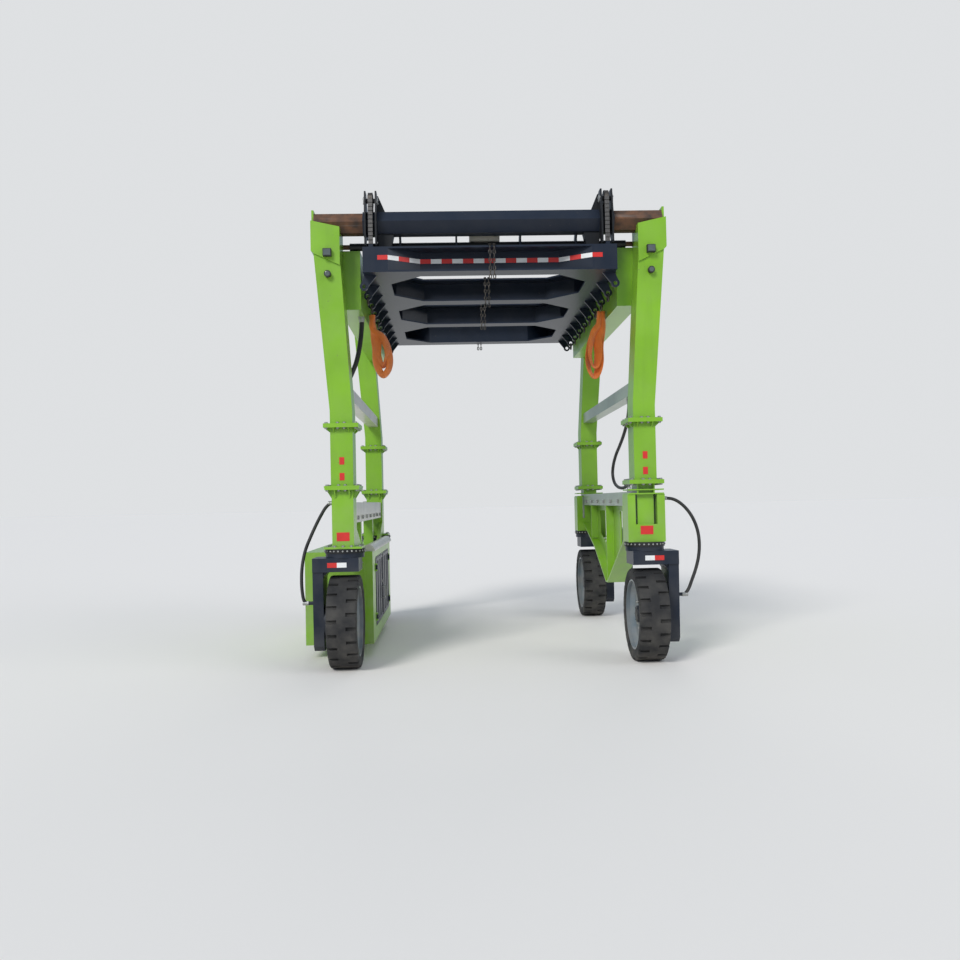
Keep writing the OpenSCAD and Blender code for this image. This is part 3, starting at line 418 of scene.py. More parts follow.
def ring(bm, centre, radius, one, other, sides):
    """Points round a circle in the plane of two directions."""
    angles = [2 * math.pi * k / sides for k in range(sides)]
    return [bm.verts.new(centre + radius * (math.cos(a) * one + math.sin(a) * other)) for a in angles]


def bridge(bm, loops):
    """Faces between each loop of points and the next."""
    for one, other in zip(loops, loops[1:]):
        for k in range(len(one)):
            j = (k + 1) % len(one)
            bm.faces.new((one[k], one[j], other[j], other[k]))


def turned(bm, centre, axis, rings, sides):
    """A turned piece: rings are (distance along the axis, radius) from one end to the other."""
    axis = Vector(axis).normalized()
    turn = axis.to_track_quat("Z", "Y").to_matrix().to_4x4()
    place = Matrix.Translation(centre) @ turn
    loops = []
    for along, radius in rings:
        loop = [bm.verts.new(place @ Vector((radius * math.cos(2 * math.pi * k / sides),
                                             radius * math.sin(2 * math.pi * k / sides), along)))
                for k in range(sides)]
        loops.append(loop)
    bridge(bm, loops)
    bm.faces.new(loops[0][::-1])
    bm.faces.new(loops[-1])


def hex_bolt(bm, centre, axis, across=0.036, head=0.018):
    """A hexagon head on its washer, standing on centre and pointing along axis."""
    turned(bm, centre, axis, [(-0.004, across * 0.72), (0.003, across * 0.72)], 14)
    turned(bm, centre, axis, [(0.002, across * 0.56), (head * 0.8, across * 0.56), (head, across * 0.46)], 6)


def corner_point(corner, x, y, z):
    """A point given from the lane's middle at +X, +Y, mirrored to a corner."""
    side, end = CORNERS[corner]
    return Vector((LANE_X + side * x, end * y, z))


def side_point(side, x, y, z):
    return Vector((LANE_X + SIDES[side] * x, y, z))


# %% [markdown]
# ## Hoses
# Each wheel's drive is fed by a thick hose that leaves the foot, stands out in a free bow and drops to
# the port on the fork, so that the fork can turn under it. The hose is a tube along a smooth curve
# through listed points, the same as in the CAD. A wheel hose's top ferrule hangs on the side frame and
# its low one on the fork, and its tube hangs on neither. Both ends sit in crimped ferrules.

# %% Hose routes
# Wheel hoses are given outwards and towards the end from the wheel's middle, and up from the ground.
LEFT_WHEEL_HOSE = [(0.1303, -0.060, 2.000), (0.170, -0.060, 2.000), (0.235, -0.060, 1.945),
                   (0.300, -0.060, 1.840), (0.365, -0.055, 1.715), (0.425, -0.050, 1.585),
                   (0.480, -0.040, 1.450), (0.515, -0.030, 1.310), (0.532, -0.020, 1.170),
                   (0.534, -0.010, 1.030), (0.525, -0.004, 0.910), (0.508, 0.0, 0.825),
                   (0.475, 0.0, 0.790), (0.4509, 0.0, 0.790)]
RIGHT_WHEEL_HOSE = [(0.2278, -0.040, 1.975), (0.270, -0.040, 1.975), (0.380, -0.040, 1.960),
                    (0.480, -0.040, 1.900), (0.570, -0.035, 1.800), (0.635, -0.030, 1.680),
                    (0.675, -0.025, 1.540), (0.685, -0.018, 1.390), (0.668, -0.010, 1.240),
                    (0.630, -0.005, 1.100), (0.580, 0.0, 0.970), (0.530, 0.0, 0.850),
                    (0.480, 0.0, 0.790), (0.4509, 0.0, 0.790)]
# Side hoses are given from the lane's middle.
LEFT_SIDE_HOSE = [(1.640, -1.640, 4.3997), (1.640, -1.640, 4.300), (1.650, -1.680, 4.130),
                  (1.670, -1.750, 3.950), (1.700, -1.830, 3.780), (1.745, -1.910, 3.640),
                  (1.780, -1.970, 3.540), (1.790, -1.985, 3.490), (1.790, -1.985, 3.4443)]
RIGHT_SIDE_HOSE = [(1.835, -1.500, 3.2837), (1.835, -1.500, 3.220), (1.835, -1.430, 3.090),
                   (1.835, -1.270, 2.950), (1.835, -1.040, 2.830), (1.835, -0.770, 2.720),
                   (1.835, -0.490, 2.620), (1.835, -0.250, 2.490), (1.835, -0.150, 2.350),
                   (1.835, -0.250, 2.230), (1.835, -0.480, 2.160), (1.835, -0.760, 2.130),
                   (1.835, -1.040, 2.130), (1.835, -1.230, 2.150), (1.835, -1.330, 2.145),
                   (1.835, -1.370, 2.110), (1.835, -1.370, 2.0653)]
WHEEL_HOSE_D = 0.040
LEFT_SIDE_HOSE_D = 0.060
RIGHT_SIDE_HOSE_D = 0.044


def smooth_path(points, per_span=5):
    """Points of a Catmull-Rom curve through the given ones."""
    ends = [points[0] * 2 - points[1]] + points + [points[-1] * 2 - points[-2]]
    path = []
    for a, b, c, d in zip(ends, ends[1:], ends[2:], ends[3:]):
        for step in range(per_span):
            t = step / per_span
            path.append(0.5 * (2 * b + (c - a) * t + (2 * a - 5 * b + 4 * c - d) * t * t
                               + (3 * b - a - 3 * c + d) * t ** 3))
    path.append(points[-1])
    return path


def tube(bm, path, radius, sides=14):
    """A round tube along a path, whose rings turn with it without twisting."""
    across = Vector((0, 1, 0))
    loops = []
    for i, point in enumerate(path):
        run = (path[min(i + 1, len(path) - 1)] - path[max(i - 1, 0)]).normalized()
        across = (across - run * across.dot(run)).normalized()
        loops.append(ring(bm, point, radius, across, run.cross(across), sides))
    bridge(bm, loops)
    bm.faces.new(loops[0][::-1])
    bm.faces.new(loops[-1])


def path_length(path):
    return sum((b - a).length for a, b in zip(path, path[1:]))


def ferrule(name, at, into, diameter, body):
    """The crimped sleeve and hexagon nut at a hose's end; into points along the hose."""
    bm = bmesh.new()
    r = diameter / 2
    turned(bm, at, into, [(0.0, r * 1.12), (0.012, r * 1.28), (0.045, r * 1.28), (0.052, r * 1.16),
                          (0.058, r * 1.26), (0.070, r * 1.22), (0.072, r * 1.02)], 18)
    turned(bm, at, into, [(0.0, r * 1.42), (0.016, r * 1.42), (0.020, r * 1.3)], 6)
    return add_mesh(name, bm, body, zinc)


def hose(node, points, diameter, body, far_body=None):
    path = smooth_path(points)
    bm = bmesh.new()
    tube(bm, path, diameter / 2)
    piece = add_mesh(node + "_rubber", bm, None if far_body else body, hose_rubber, smooth=True)
    ends = [ferrule(node + "_ferrule_top", points[0], points[1] - points[0], diameter, body),
            ferrule(node + "_ferrule_low", points[-1], points[-2] - points[-1], diameter, far_body or body)]
    if far_body:
        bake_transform(piece)
    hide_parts(node)
    path_length(path)
    return path_length(path)


for corner, (side, _) in CORNERS.items():
    route = LEFT_WHEEL_HOSE if side < 0 else RIGHT_WHEEL_HOSE
    points = [corner_point(corner, HALF_TRACK + x, HALF_BASE + y, z) for x, y, z in route]
    side_body = "left_side" if side < 0 else "right_side"
    length = hose("hose_" + corner, points, WHEEL_HOSE_D, side_body, "steering_" + corner)
    print("hose", corner, round(length, 3), "m")
for side, route, diameter in (("left", LEFT_SIDE_HOSE, LEFT_SIDE_HOSE_D),
                              ("right", RIGHT_SIDE_HOSE, RIGHT_SIDE_HOSE_D)):
    points = [side_point(side, *place) for place in route]
    length = hose(f"hose_{side}_side", points, diameter, side + "_side")
    print("hose", side, "side", round(length, 3), "m")

# %% [markdown]
# ## Tyres
# Solid tyres for yard machines have a broad smooth tread with blunt slots cut in from both shoulders,
# left and right set half a step apart. The tyre is one turned surface: stations across its section,
# repeated round the wheel, and where a slot passes, the outer stations drop to the slot's floor. The
# tread ends exactly at the tyre's real radius, so the tyre still stands on the ground.

# %% Tyre with slots
TYRE_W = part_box("tyre_front_left")[1].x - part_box("tyre_front_left")[0].x
RIM_R = 0.425
SLOTS = 21
SLOT_W = 0.046
SLOT_REACH = 0.128
SLOT_DEPTH = 0.032
# The first station of the section that sinks where a slot passes
TREAD_FROM = 6


def tyre_section(hand, slotted):
    """Half of the section from the bead up to the tread's middle, as (across, radius)."""
    half = TYRE_W / 2
    floor_r = TYRE_R - SLOT_DEPTH
    end = half - SLOT_REACH
    points = [(half - 0.014, RIM_R), (half - 0.005, RIM_R + 0.010), (half - 0.009, RIM_R + 0.026),
              (half - 0.003, RIM_R + 0.040), (half - 0.0005, RIM_R + 0.075), (half - 0.0005, floor_r - 0.004),
              (half - 0.002, TYRE_R - 0.020), (half - 0.007, TYRE_R - 0.008), (half - 0.018, TYRE_R - 0.001),
              (half - 0.034, TYRE_R), (end + 0.012, TYRE_R), (end + 0.002, TYRE_R), (end, TYRE_R)]
    if slotted:
        # They sink to the slot's floor, the last one a little less, as a fillet
        for i in range(TREAD_FROM, len(points) - 1):
            x, r = points[i]
            points[i] = (x, min(r, floor_r))
        points[-2] = (points[-2][0], points[-2][1] + 0.003)
    return [(hand * x, r) for x, r in points]


def tyre_mesh(bm):
    pitch = 2 * math.pi / SLOTS
    slot = SLOT_W / TYRE_R
    wall = 0.004 / TYRE_R
    # Angles within one pitch, and whether the left and the right half are cut there
    stops = [(0.0, False, False), (wall, True, False), (slot - wall, True, False), (slot, False, False),
             (pitch * 0.37, False, False), (pitch * 0.5, False, False), (pitch * 0.5 + wall, False, True),
             (pitch * 0.5 + slot - wall, False, True), (pitch * 0.5 + slot, False, False),
             (pitch * 0.87, False, False)]
    loops = []
    for k in range(SLOTS):
        for angle, left_cut, right_cut in stops:
            a = k * pitch + angle
            across = tyre_section(-1, left_cut) + tyre_section(1, right_cut)[::-1]
            loops.append([bm.verts.new((x, r * math.cos(a), r * math.sin(a))) for x, r in across])
    bridge(bm, loops + loops[:1])


for corner in CORNERS:
    bm = bmesh.new()
    tyre_mesh(bm)
    bmesh.ops.translate(bm, verts=bm.verts, vec=middle("tyre_" + corner))
    tyre = add_mesh("tread_" + corner, bm, "wheel_" + corner, tyre_rubber)
    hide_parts("tyre_" + corner)
print("tyre faces", len(tyre.data.polygons))

# %% [markdown]
# ## Wheels
# The rim is bolted to its hub with a ring of nuts, and a round cap closes the axle's end.

# %% Wheel nuts and hub caps
NUTS = 12
NUT_CIRCLE_R = 0.185
DISC_FACE = 0.071
CAP_IN = 0.1135
for corner, (side, _) in CORNERS.items():
    centre = middle("rim_" + corner)
    bm = bmesh.new()
    for k in range(NUTS):
        a = 2 * math.pi * (k + 0.5) / NUTS
        at = centre + Vector((-side * DISC_FACE, NUT_CIRCLE_R * math.cos(a), NUT_CIRCLE_R * math.sin(a)))
        hex_bolt(bm, at, (-side, 0, 0), across=0.030, head=0.020)
    add_mesh("wheel_nuts_" + corner, bm, "wheel_" + corner, zinc)
    bm = bmesh.new()
    cap_at = corner_point(corner, HALF_TRACK - CAP_IN, HALF_BASE, AXLE_Z)
    turned(bm, cap_at, (-side, 0, 0), [(-0.002, 0.098), (0.006, 0.094), (0.012, 0.060), (0.014, 0.0601)], 32)
    for k in range(6):
        a = 2 * math.pi * k / 6
        hex_bolt(bm, cap_at + Vector((-side * 0.003, 0.080 * math.cos(a), 0.080 * math.sin(a))),
                 (-side, 0, 0), across=0.016, head=0.010)
    add_mesh("hub_cap_" + corner, bm, "steering_" + corner, black)
print("nuts", NUTS * 4)

# %% [markdown]
# ## Chains for the load
# At each cross beam hangs a pair of short round-link chains. A link is a wire bent to an oval, and every
# second one is turned a quarter. They ride on the spreader and take the place of the plain blocks of the
# CAD.

# %% Load chains
LINK_L = 0.062
LINK_W = 0.040
WIRE_R = 0.0065
WIRE_SIDES = 8
LINK_STEPS = 20
CHAIN_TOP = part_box("load_chains")[1].z
CHAIN_LINKS = 8
CHAIN_XS = (-0.005, 0.045)
CHAIN_YS = (-2.5823, -0.9543, 0.6737, 2.5823)


def link(bm, top, turned_over):
    """One oval link that hangs from top, in the plane across or along the machine."""
    wide = Vector((0, 1, 0)) if turned_over else Vector((1, 0, 0))
    bend = LINK_W / 2 - WIRE_R
    straight = LINK_L / 2 - WIRE_R - bend
    centre = top - Vector((0, 0, LINK_L / 2))
    path = []
    for k in range(LINK_STEPS):
        a = 2 * math.pi * k / LINK_STEPS
        rise = straight if math.sin(a) > 0 else -straight
        path.append(centre + wide * bend * math.cos(a) + Vector((0, 0, bend * math.sin(a) + rise)))
    loops = []
    for k, point in enumerate(path):
        run = (path[(k + 1) % LINK_STEPS] - path[k - 1]).normalized()
        side = run.cross(wide.cross(Vector((0, 0, 1)))).normalized()
        loops.append(ring(bm, point, WIRE_R, side, run.cross(side), WIRE_SIDES))
    bridge(bm, loops + loops[:1])


bm = bmesh.new()
for y in CHAIN_YS:
    for x in CHAIN_XS:
        for k in range(CHAIN_LINKS):
            link(bm, Vector((LANE_X + x, y, CHAIN_TOP - k * (LINK_L - 2 * WIRE_R))), k % 2 == 0)
        reach = 0.03 if abs(y) > 2.5 else 0.04
        inward = 1 if y < 0 or abs(y) < 2.5 else -1
        near, far = sorted((y - inward * 0.012, y + inward * reach))
        solid_block(bm, (LANE_X + x - 0.016, near, CHAIN_TOP + 0.0065),
                    (LANE_X + x + 0.016, far, CHAIN_TOP + 0.016), 0.003)
chains = add_mesh("round_link_chains", bm, "spreader", chain_steel, smooth=True)
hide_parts("load_chains")
print("links", CHAIN_LINKS * len(CHAIN_XS) * len(CHAIN_YS))

# %% [markdown]
# ## Lift chains
# Each corner of the spreader hangs on a leaf chain that runs over a sheave on the crossbeam. When the
# spreader goes down, more chain comes off the sheave. Here the falls are the CAD's chain mesh, copied
# as one piece that hangs on no body.

# %% Lift chain falls
bm = bmesh.new()
bm.from_mesh(nodes["lift_chains"].data)
bm.transform(nodes["lift_chains"].matrix_world)
falls = add_mesh("lift_chain_falls", bm, None, lift_chain_steel)
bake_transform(falls)
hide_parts("lift_chains")

# %% [markdown]
# ## Slings
# Orange endless slings are parked on two of the shackles. Each is a broad band of webbing that falls in
# two loops. Webbing doesn't get narrower, so where it passes over the shackle its width is folded into a
# deep arc, and below the arc opens until the band is nearly flat. The width stands mostly across the
# machine, so that the broad side shows from the front, and rolls over where the band turns at the
# bottom. It is cut to its full width and the length of its path.

# %% Slings
SLING_W = 0.125
SLING_STRIPS = 8
SLING_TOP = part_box("slings")[1].z
SLINGS = {"left": (0.300, 0.860), "right": (0.260, 0.920)}
SLING_Y = -1.3178
SLING_OUT = 1.550
EYE_X = 1.533


def sling_loop(width, drop, k):
    """Points across and up of one loop from the shackle down, round and up again."""
    outer = SLING_OUT - 0.058 - 0.018 * k
    inner = SLING_OUT - width + 0.058 + 0.024 * k
    deep = -drop * (0.95 - 0.14 * k)
    return [(EYE_X + 0.004, -0.006), (EYE_X + 0.008, -0.080), (EYE_X, -0.200), (outer, deep * 0.52),
            (outer - 0.002, deep * 0.78), (outer * 0.72 + inner * 0.28, deep * 0.96),
            (outer * 0.40 + inner * 0.60, deep), (inner + 0.006, deep * 0.88), (inner, deep * 0.68),
            (inner + 0.3 * (EYE_X - inner), deep * 0.42), (EYE_X - 0.030, -0.200), (EYE_X - 0.014, -0.080),
            (EYE_X - 0.006, -0.008)]


def sling_band(bm, side, width, drop, k):
    """Adds one loop and returns the length of its path."""
    points = [side_point(side, x, SLING_Y, SLING_TOP + z) for x, z in sling_loop(width, drop, k)]
    path = smooth_path(points, 7)
    rows = []
    for i, point in enumerate(path):
        share = i / (len(path) - 1)
        run = (path[min(i + 1, len(path) - 1)] - path[max(i - 1, 0)]).normalized()
        across = Vector((0, 1, 0)).cross(run)
        low = min(1.0, max(0.0, (SLING_TOP - point.z - 0.10) / 0.25))
        roll = math.radians(62 - 34 * math.sin(math.pi * share) ** 6 + 9 * math.sin(5.0 * share + k))
        flat = across * math.sin(roll) + Vector((0, 1, 0)) * math.cos(roll)
        hollow = run.cross(flat)
        fold = math.radians(35 + 195 * (1.0 - low))
        bend_r = SLING_W / fold
        depth = Vector((0, (0.016 - 0.020 * k) * low + 0.012 * math.sin(7.0 * share), 0))
        row = []
        for step in range(SLING_STRIPS + 1):
            a = fold * (step / SLING_STRIPS - 0.5)
            arc = flat * math.sin(a) + hollow * (1.0 - math.cos(a))
            row.append(bm.verts.new(point + depth + bend_r * arc))
        rows.append(row)
    for one, other in zip(rows, rows[1:]):
        for j in range(SLING_STRIPS):
            bm.faces.new((one[j], one[j + 1], other[j + 1], other[j]))
    return path_length(path)


for side, (width, drop) in SLINGS.items():
    bm = bmesh.new()
    length = sum(sling_band(bm, side, width, drop, k) for k in range(2))
    band = add_mesh("sling_" + side, bm, "spreader", sling_web, smooth=True)
    thick = band.modifiers.new("thickness", "SOLIDIFY")
    thick.thickness = 0.005
    thick.offset = 0
    area = sum(face.area for face in band.data.polygons)
    if side == "left":
        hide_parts("slings")
    print("sling", side, "band", round(length, 2), "m, cut", round(SLING_W * length, 4), "m2, mesh",
          round(area, 4))

# %% [markdown]
# ## Bolts
# The columns are made in three pieces, bolted through thick flanges. Heads show above and nuts below.
# The slewing rings carry a circle of screws, and the left feet stand on bolted base plates. Screws are
# small, but their rhythm tells the eye how large the machine is.

# %% Bolted joints
FLANGE_T = 0.025
JOINTS_Z = (2.180, 2.930)
RING_R = 0.245
RING_Z = 1.4215
BASE_TOP = 1.4725
RING_SCREWS = 28


def flange_bolts(bm, corner, z):
    places = [(sx * 0.176, sy * 0.050) for sx in (-1, 1) for sy in (-1, 1)]
    places += [(sx * 0.176, sy * 0.206) for sx in (-1, 1) for sy in (-1, 1)]
    places += [(sx * 0.040, sy * 0.206) for sx in (-1, 1) for sy in (-1, 1)]
    for x, y in places:
        for way in (-1, 1):
            at = corner_point(corner, HALF_TRACK + x, HALF_BASE + y, z + way * FLANGE_T)
            hex_bolt(bm, at, (0, 0, way))


for side in SIDES:
    bm = bmesh.new()
    for corner in CORNERS:
        if CORNERS[corner][0] != SIDES[side]:
            continue
        for z in JOINTS_Z:
            flange_bolts(bm, corner, z)
        for k in range(RING_SCREWS):
            a = 2 * math.pi * k / RING_SCREWS
            out = Vector((math.cos(a), math.sin(a), 0))
            at = corner_point(corner, HALF_TRACK, HALF_BASE, RING_Z) + out * RING_R
            turned(bm, at, out, [(-0.002, 0.011), (0.006, 0.011), (0.008, 0.008)], 6)
        if side == "left":
            for x, y in [(-0.195, 0.0), (0.195, 0.0), (-0.195, 0.13), (0.195, 0.13), (0.195, -0.13),
                         (-0.195, -0.13), (-0.1, 0.200), (0.0, 0.200), (0.1, 0.200)]:
                hex_bolt(bm, corner_point(corner, HALF_TRACK + x, HALF_BASE + y, BASE_TOP), (0, 0, 1))
    add_mesh("bolts_" + side, bm, side + "_side", zinc)
print("ring screws", RING_SCREWS * 4)

# %% [markdown]
# The sheave pins are held by round keeper plates, each with three screws.

# %% Keepers on the hangers
HANGER_X = 1.435
HANGER_FACE = 0.075
bm = bmesh.new()
sheave_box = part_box("sheaves")
SHEAVE_R = 0.078
SHEAVE_Y = abs(sheave_box[0].y) - SHEAVE_R
SHEAVE_Z = (sheave_box[0].z + sheave_box[1].z) / 2
for corner, (side, _) in CORNERS.items():
    for way in (-1, 1):
        at = corner_point(corner, HANGER_X + way * HANGER_FACE, SHEAVE_Y, SHEAVE_Z)
        out = Vector((side * way, 0, 0))
        turned(bm, at, out, [(-0.001, 0.050), (0.009, 0.050), (0.012, 0.046)], 24)
        for k in range(3):
            a = 2 * math.pi * k / 3 + 0.5
            turned(bm, at + out * 0.010 + Vector((0, 0.033 * math.cos(a), 0.033 * math.sin(a))), out,
                   [(0, 0.008), (0.008, 0.008)], 6)
add_mesh("sheave_keepers", bm, "crossbeams", zinc)

# %% [markdown]
# ## Stripes and plates
# A strip of red and white blocks runs along the front cross beam of the spreader, following its web
# where it bends out to the side beams. Small red plates sit on the front columns and short strips on
# the fork crowns. The plates are left blank.

# %% Stripes
SIDE_IN = 1.230
FLARE = 0.850
STRIP_LOW = 4.895
STRIP_HIGH = 4.950
STRIP_END = 1.353
BLOCK_L = 0.135
MOUTH_Y = -2.562
WEB_Y = -2.342


def strip(name, corners, z_low, z_high, step, body, red_first=True, out=0.003):
    """Red and white blocks in turn along a bent line, each pair of corners one straight run."""
    reds = bmesh.new()
    whites = bmesh.new()
    first = 1 if red_first else 0
    count = first
    for a, b in zip(corners, corners[1:]):
        a, b = Vector((*a, 0)), Vector((*b, 0))
        run = (b - a).normalized()
        front = Vector((run.y, -run.x, 0))
        pieces = max(1, round((b - a).length / step))
        for k in range(pieces):
            one = a + (b - a) * (k / pieces)
            two = a + (b - a) * ((k + 1) / pieces)
            bm = reds if count % 2 else whites
            low = [bm.verts.new(p + front * d + Vector((0, 0, z_low)))
                   for p, d in ((one, 0), (two, 0), (two, out), (one, out))]
            high = [bm.verts.new(v.co + Vector((0, 0, z_high - z_low))) for v in low]
            bm.faces.new(low[::-1])
            bm.faces.new(high)
            bridge(bm, [low, high])
            count += 1
    add_mesh(name + "_red", reds, body, signal_red)
    add_mesh(name + "_white", whites, body, signal_white)
    return count - first


half = [(FLARE, WEB_Y), (SIDE_IN, MOUTH_Y), (STRIP_END, MOUTH_Y)]
line = [(LANE_X - x, y) for x, y in reversed(half)] + [(LANE_X + x, y) for x, y in half]
blocks = strip("front_strip", line, STRIP_LOW, STRIP_HIGH, BLOCK_L, "spreader")
print("strip blocks", blocks)

CROWN_FRONT = -2.470
CROWN_STRIP_LOW = 1.228
CROWN_STRIP_HIGH = 1.286
CROWN_BLOCK_L = 0.115
COLUMN_FRONT = -2.420
# Width, lower edge and upper edge of each red plate
PLATES = ((0.060, 2.46, 2.55), (0.060, 2.27, 2.36), (0.155, 1.540, 1.645))
for side, sign in SIDES.items():
    x = LANE_X + sign * HALF_TRACK
    near, far = sorted((x - sign * 0.04, x + sign * 0.19))
    strip("crown_strip_" + side, [(near, CROWN_FRONT), (far, CROWN_FRONT)], CROWN_STRIP_LOW,
          CROWN_STRIP_HIGH, CROWN_BLOCK_L, "steering_front_" + side, red_first=side == "left")
    bm = bmesh.new()
    for wide, low, high in PLATES:
        low_corner = (x - wide / 2, COLUMN_FRONT - 0.003, low)
        high_corner = (x + wide / 2, COLUMN_FRONT + 0.001, high)
        solid_block(bm, low_corner, high_corner, 0.001)
    add_mesh("red_plates_" + side, bm, side + "_side", signal_red)

# %% [markdown]
# ## Lamps
# Each leg has a square work lamp on its head and a round one below. The housings are CAD; the lenses
# are thin raised glasses, the round ones in a rim.

# %% Lamp lenses
LAMP_X = 1.962
SQUARE_FACE = 2.500
SQUARE_HALF = 0.042
SQUARE_LOW = 4.978
SQUARE_HIGH = 5.052
ROUND_Z = 4.76
for side, sign in SIDES.items():
    glass = bmesh.new()
    rim = bmesh.new()
    x = LANE_X + sign * LAMP_X
    for end in (-1, 1):
        near, far = sorted((end * SQUARE_FACE, end * (SQUARE_FACE + 0.004)))
        solid_block(glass, (x - SQUARE_HALF, near, SQUARE_LOW), (x + SQUARE_HALF, far, SQUARE_HIGH), 0.001)
        turned(glass, (x, end * 2.478, ROUND_Z), (0, end, 0),
               [(0, 0.033), (0.003, 0.032), (0.005, 0.024)], 28)
        turned(rim, (x, end * 2.44, ROUND_Z), (0, end, 0),
               [(0, 0.041), (0.036, 0.041), (0.042, 0.039)], 28)
    add_mesh("lamp_glass_" + side, glass, side + "_side", lens)
    add_mesh("lamp_rims_" + side, rim, side + "_side", housing)

# %% [markdown]
# ## Pipes
# Oil runs to the cylinders in thin pipes, two beside each other, held by small clamps: along the back of
# the front crossbeam, outside on each top beam, and inside on the lower of the side beams.


# %% Pipes and clamps
PIPE_R = 0.009
PIPE_HALF_APART = 0.013
PIPE_OFF_BEAM = 0.012
CLAMPS = 7
CLAMP_HALF_T = 0.013
CLAMP_HALF_L = 0.014
CROSSBEAM_PIPE_X = 1.30
CROSSBEAM_PIPE_Y = -2.074
CROSSBEAM_PIPE_Z = 5.425
SIDE_PIPE_Y = 2.04
TOP_BEAM_PIPE_Z = 4.86
TOP_BEAM_FACE = 1.872
SIDE_BEAM_FACE = 1.725


def pipe_run(bm_pipe, bm_clamp, start, end, out):
    """Two pipes from start to end with clamps on them; out points away from what they lie on."""
    start, end, out = Vector(start), Vector(end), Vector(out)
    along = (end - start).normalized()
    beside = along.cross(out) * PIPE_HALF_APART
    for hand in (-1, 1):
        path = [place + beside * hand for place in (start, (start + end) / 2, end)]
        tube(bm_pipe, path, PIPE_R, 12)
    for k in range(CLAMPS):
        at = start + (end - start) * ((k + 0.5) / CLAMPS)
        corner = [abs(v) for v in (beside * 2.0 + out * CLAMP_HALF_T + along * CLAMP_HALF_L)]
        solid_block(bm_clamp, at - Vector(corner), at + Vector(corner), 0.003)


bm_pipe, bm_clamp = bmesh.new(), bmesh.new()
pipe_run(bm_pipe, bm_clamp, (LANE_X - CROSSBEAM_PIPE_X, CROSSBEAM_PIPE_Y, CROSSBEAM_PIPE_Z),
         (LANE_X + CROSSBEAM_PIPE_X, CROSSBEAM_PIPE_Y, CROSSBEAM_PIPE_Z), (0, 1, 0))
add_mesh("crossbeam_pipes", bm_pipe, "crossbeams", black, smooth=True)
add_mesh("crossbeam_clamps", bm_clamp, "crossbeams", zinc)
for side, sign in SIDES.items():
    bm_pipe, bm_clamp = bmesh.new(), bmesh.new()
    outer = LANE_X + sign * (TOP_BEAM_FACE + PIPE_OFF_BEAM)
    inner = LANE_X + sign * (SIDE_BEAM_FACE - PIPE_OFF_BEAM)
    low_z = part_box(side + "_side_beams")[0].z + 0.06
    for x, z, out in ((outer, TOP_BEAM_PIPE_Z, sign), (inner, low_z, -sign)):
        pipe_run(bm_pipe, bm_clamp, (x, -SIDE_PIPE_Y, z), (x, SIDE_PIPE_Y, z), (out, 0, 0))
    add_mesh("pipes_" + side, bm_pipe, side + "_side", black, smooth=True)
    add_mesh("pipe_clamps_" + side, bm_clamp, side + "_side", zinc)

# %% [markdown]
# The valve box has a row of fittings under its rear edge and short levers on its lid. How the pipes join
# it isn't seen in the picture, so no pipe is drawn between them.

# %% Valve box fittings
valve_low, valve_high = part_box("valve_box")
bm = bmesh.new()
bm_green = bmesh.new()
for k in range(6):
    x = valve_low.x + 0.04 + k * 0.058
    turned(bm, (x, valve_high.y - 0.022, valve_low.z + 0.002), (0, 0, -1),
           [(0, 0.016), (0.014, 0.016), (0.016, 0.010), (0.040, 0.010), (0.048, 0.007)], 6)
    turned(bm_green, (x, valve_high.y - 0.030, valve_high.z - 0.001), (0, 0.25, 1),
           [(0, 0.014), (0.012, 0.012), (0.016, 0.005), (0.060, 0.005), (0.064, 0.010), (0.082, 0.008)], 14)
add_mesh("valve_fittings", bm, "crossbeams", brass)
add_mesh("valve_levers", bm_green, "crossbeams", lime, smooth=True)

# %% [markdown]
# ## Power pack
# The doors to the lane are dark steel with a pressed frame, two ribs and a bow handle at the free edge.
# The outer side has two bolted service panels with louvres, whose slats are thin wedges, so that each
# throws its own line of shadow.


# %% Louvres, panels and handles
def louvres(bm, face_x, sign, y_low, y_high, z_low, z_high, pitch, out):
    """Slats on a face across the machine; sign says which way the face looks."""
    z = z_low
    while z + pitch <= z_high + 1e-6:
        outline = [(0.0, z), (out, z + 0.004), (out, z + 0.010), (0.0, z + pitch * 0.7)]
        loops = [[bm.verts.new((face_x + sign * d, y, h)) for d, h in outline] for y in (y_low, y_high)]
        bm.faces.new(loops[0])
        bm.faces.new(loops[1][::-1])
        bridge(bm, loops)
        z += pitch


def raised_frame(bm, face_x, sign, y_low, y_high, z_low, z_high, width, out):
    near, far = sorted((face_x - sign * 0.001, face_x + sign * out))
    for low, high in (((y_low, z_low), (y_high, z_low + width)), ((y_low, z_high - width), (y_high, z_high)),
                      ((y_low, z_low + width), (y_low + width, z_high - width)),
                      ((y_high - width, z_low + width), (y_high, z_high - width))):
        solid_block(bm, (near, low[0], low[1]), (far, high[0], high[1]), out * 0.3)


def bow_handle(bm, at, sign, height, out):
    at = Vector(at)
    reach = Vector((sign * out, 0, 0))
    rise = Vector((0, 0, height / 2))
    points = [at - rise, at - rise + reach * 0.6, at - rise * 0.8 + reach, at + rise * 0.8 + reach,
              at + rise + reach * 0.6, at + rise]
    tube(bm, smooth_path(points), 0.007, 10)


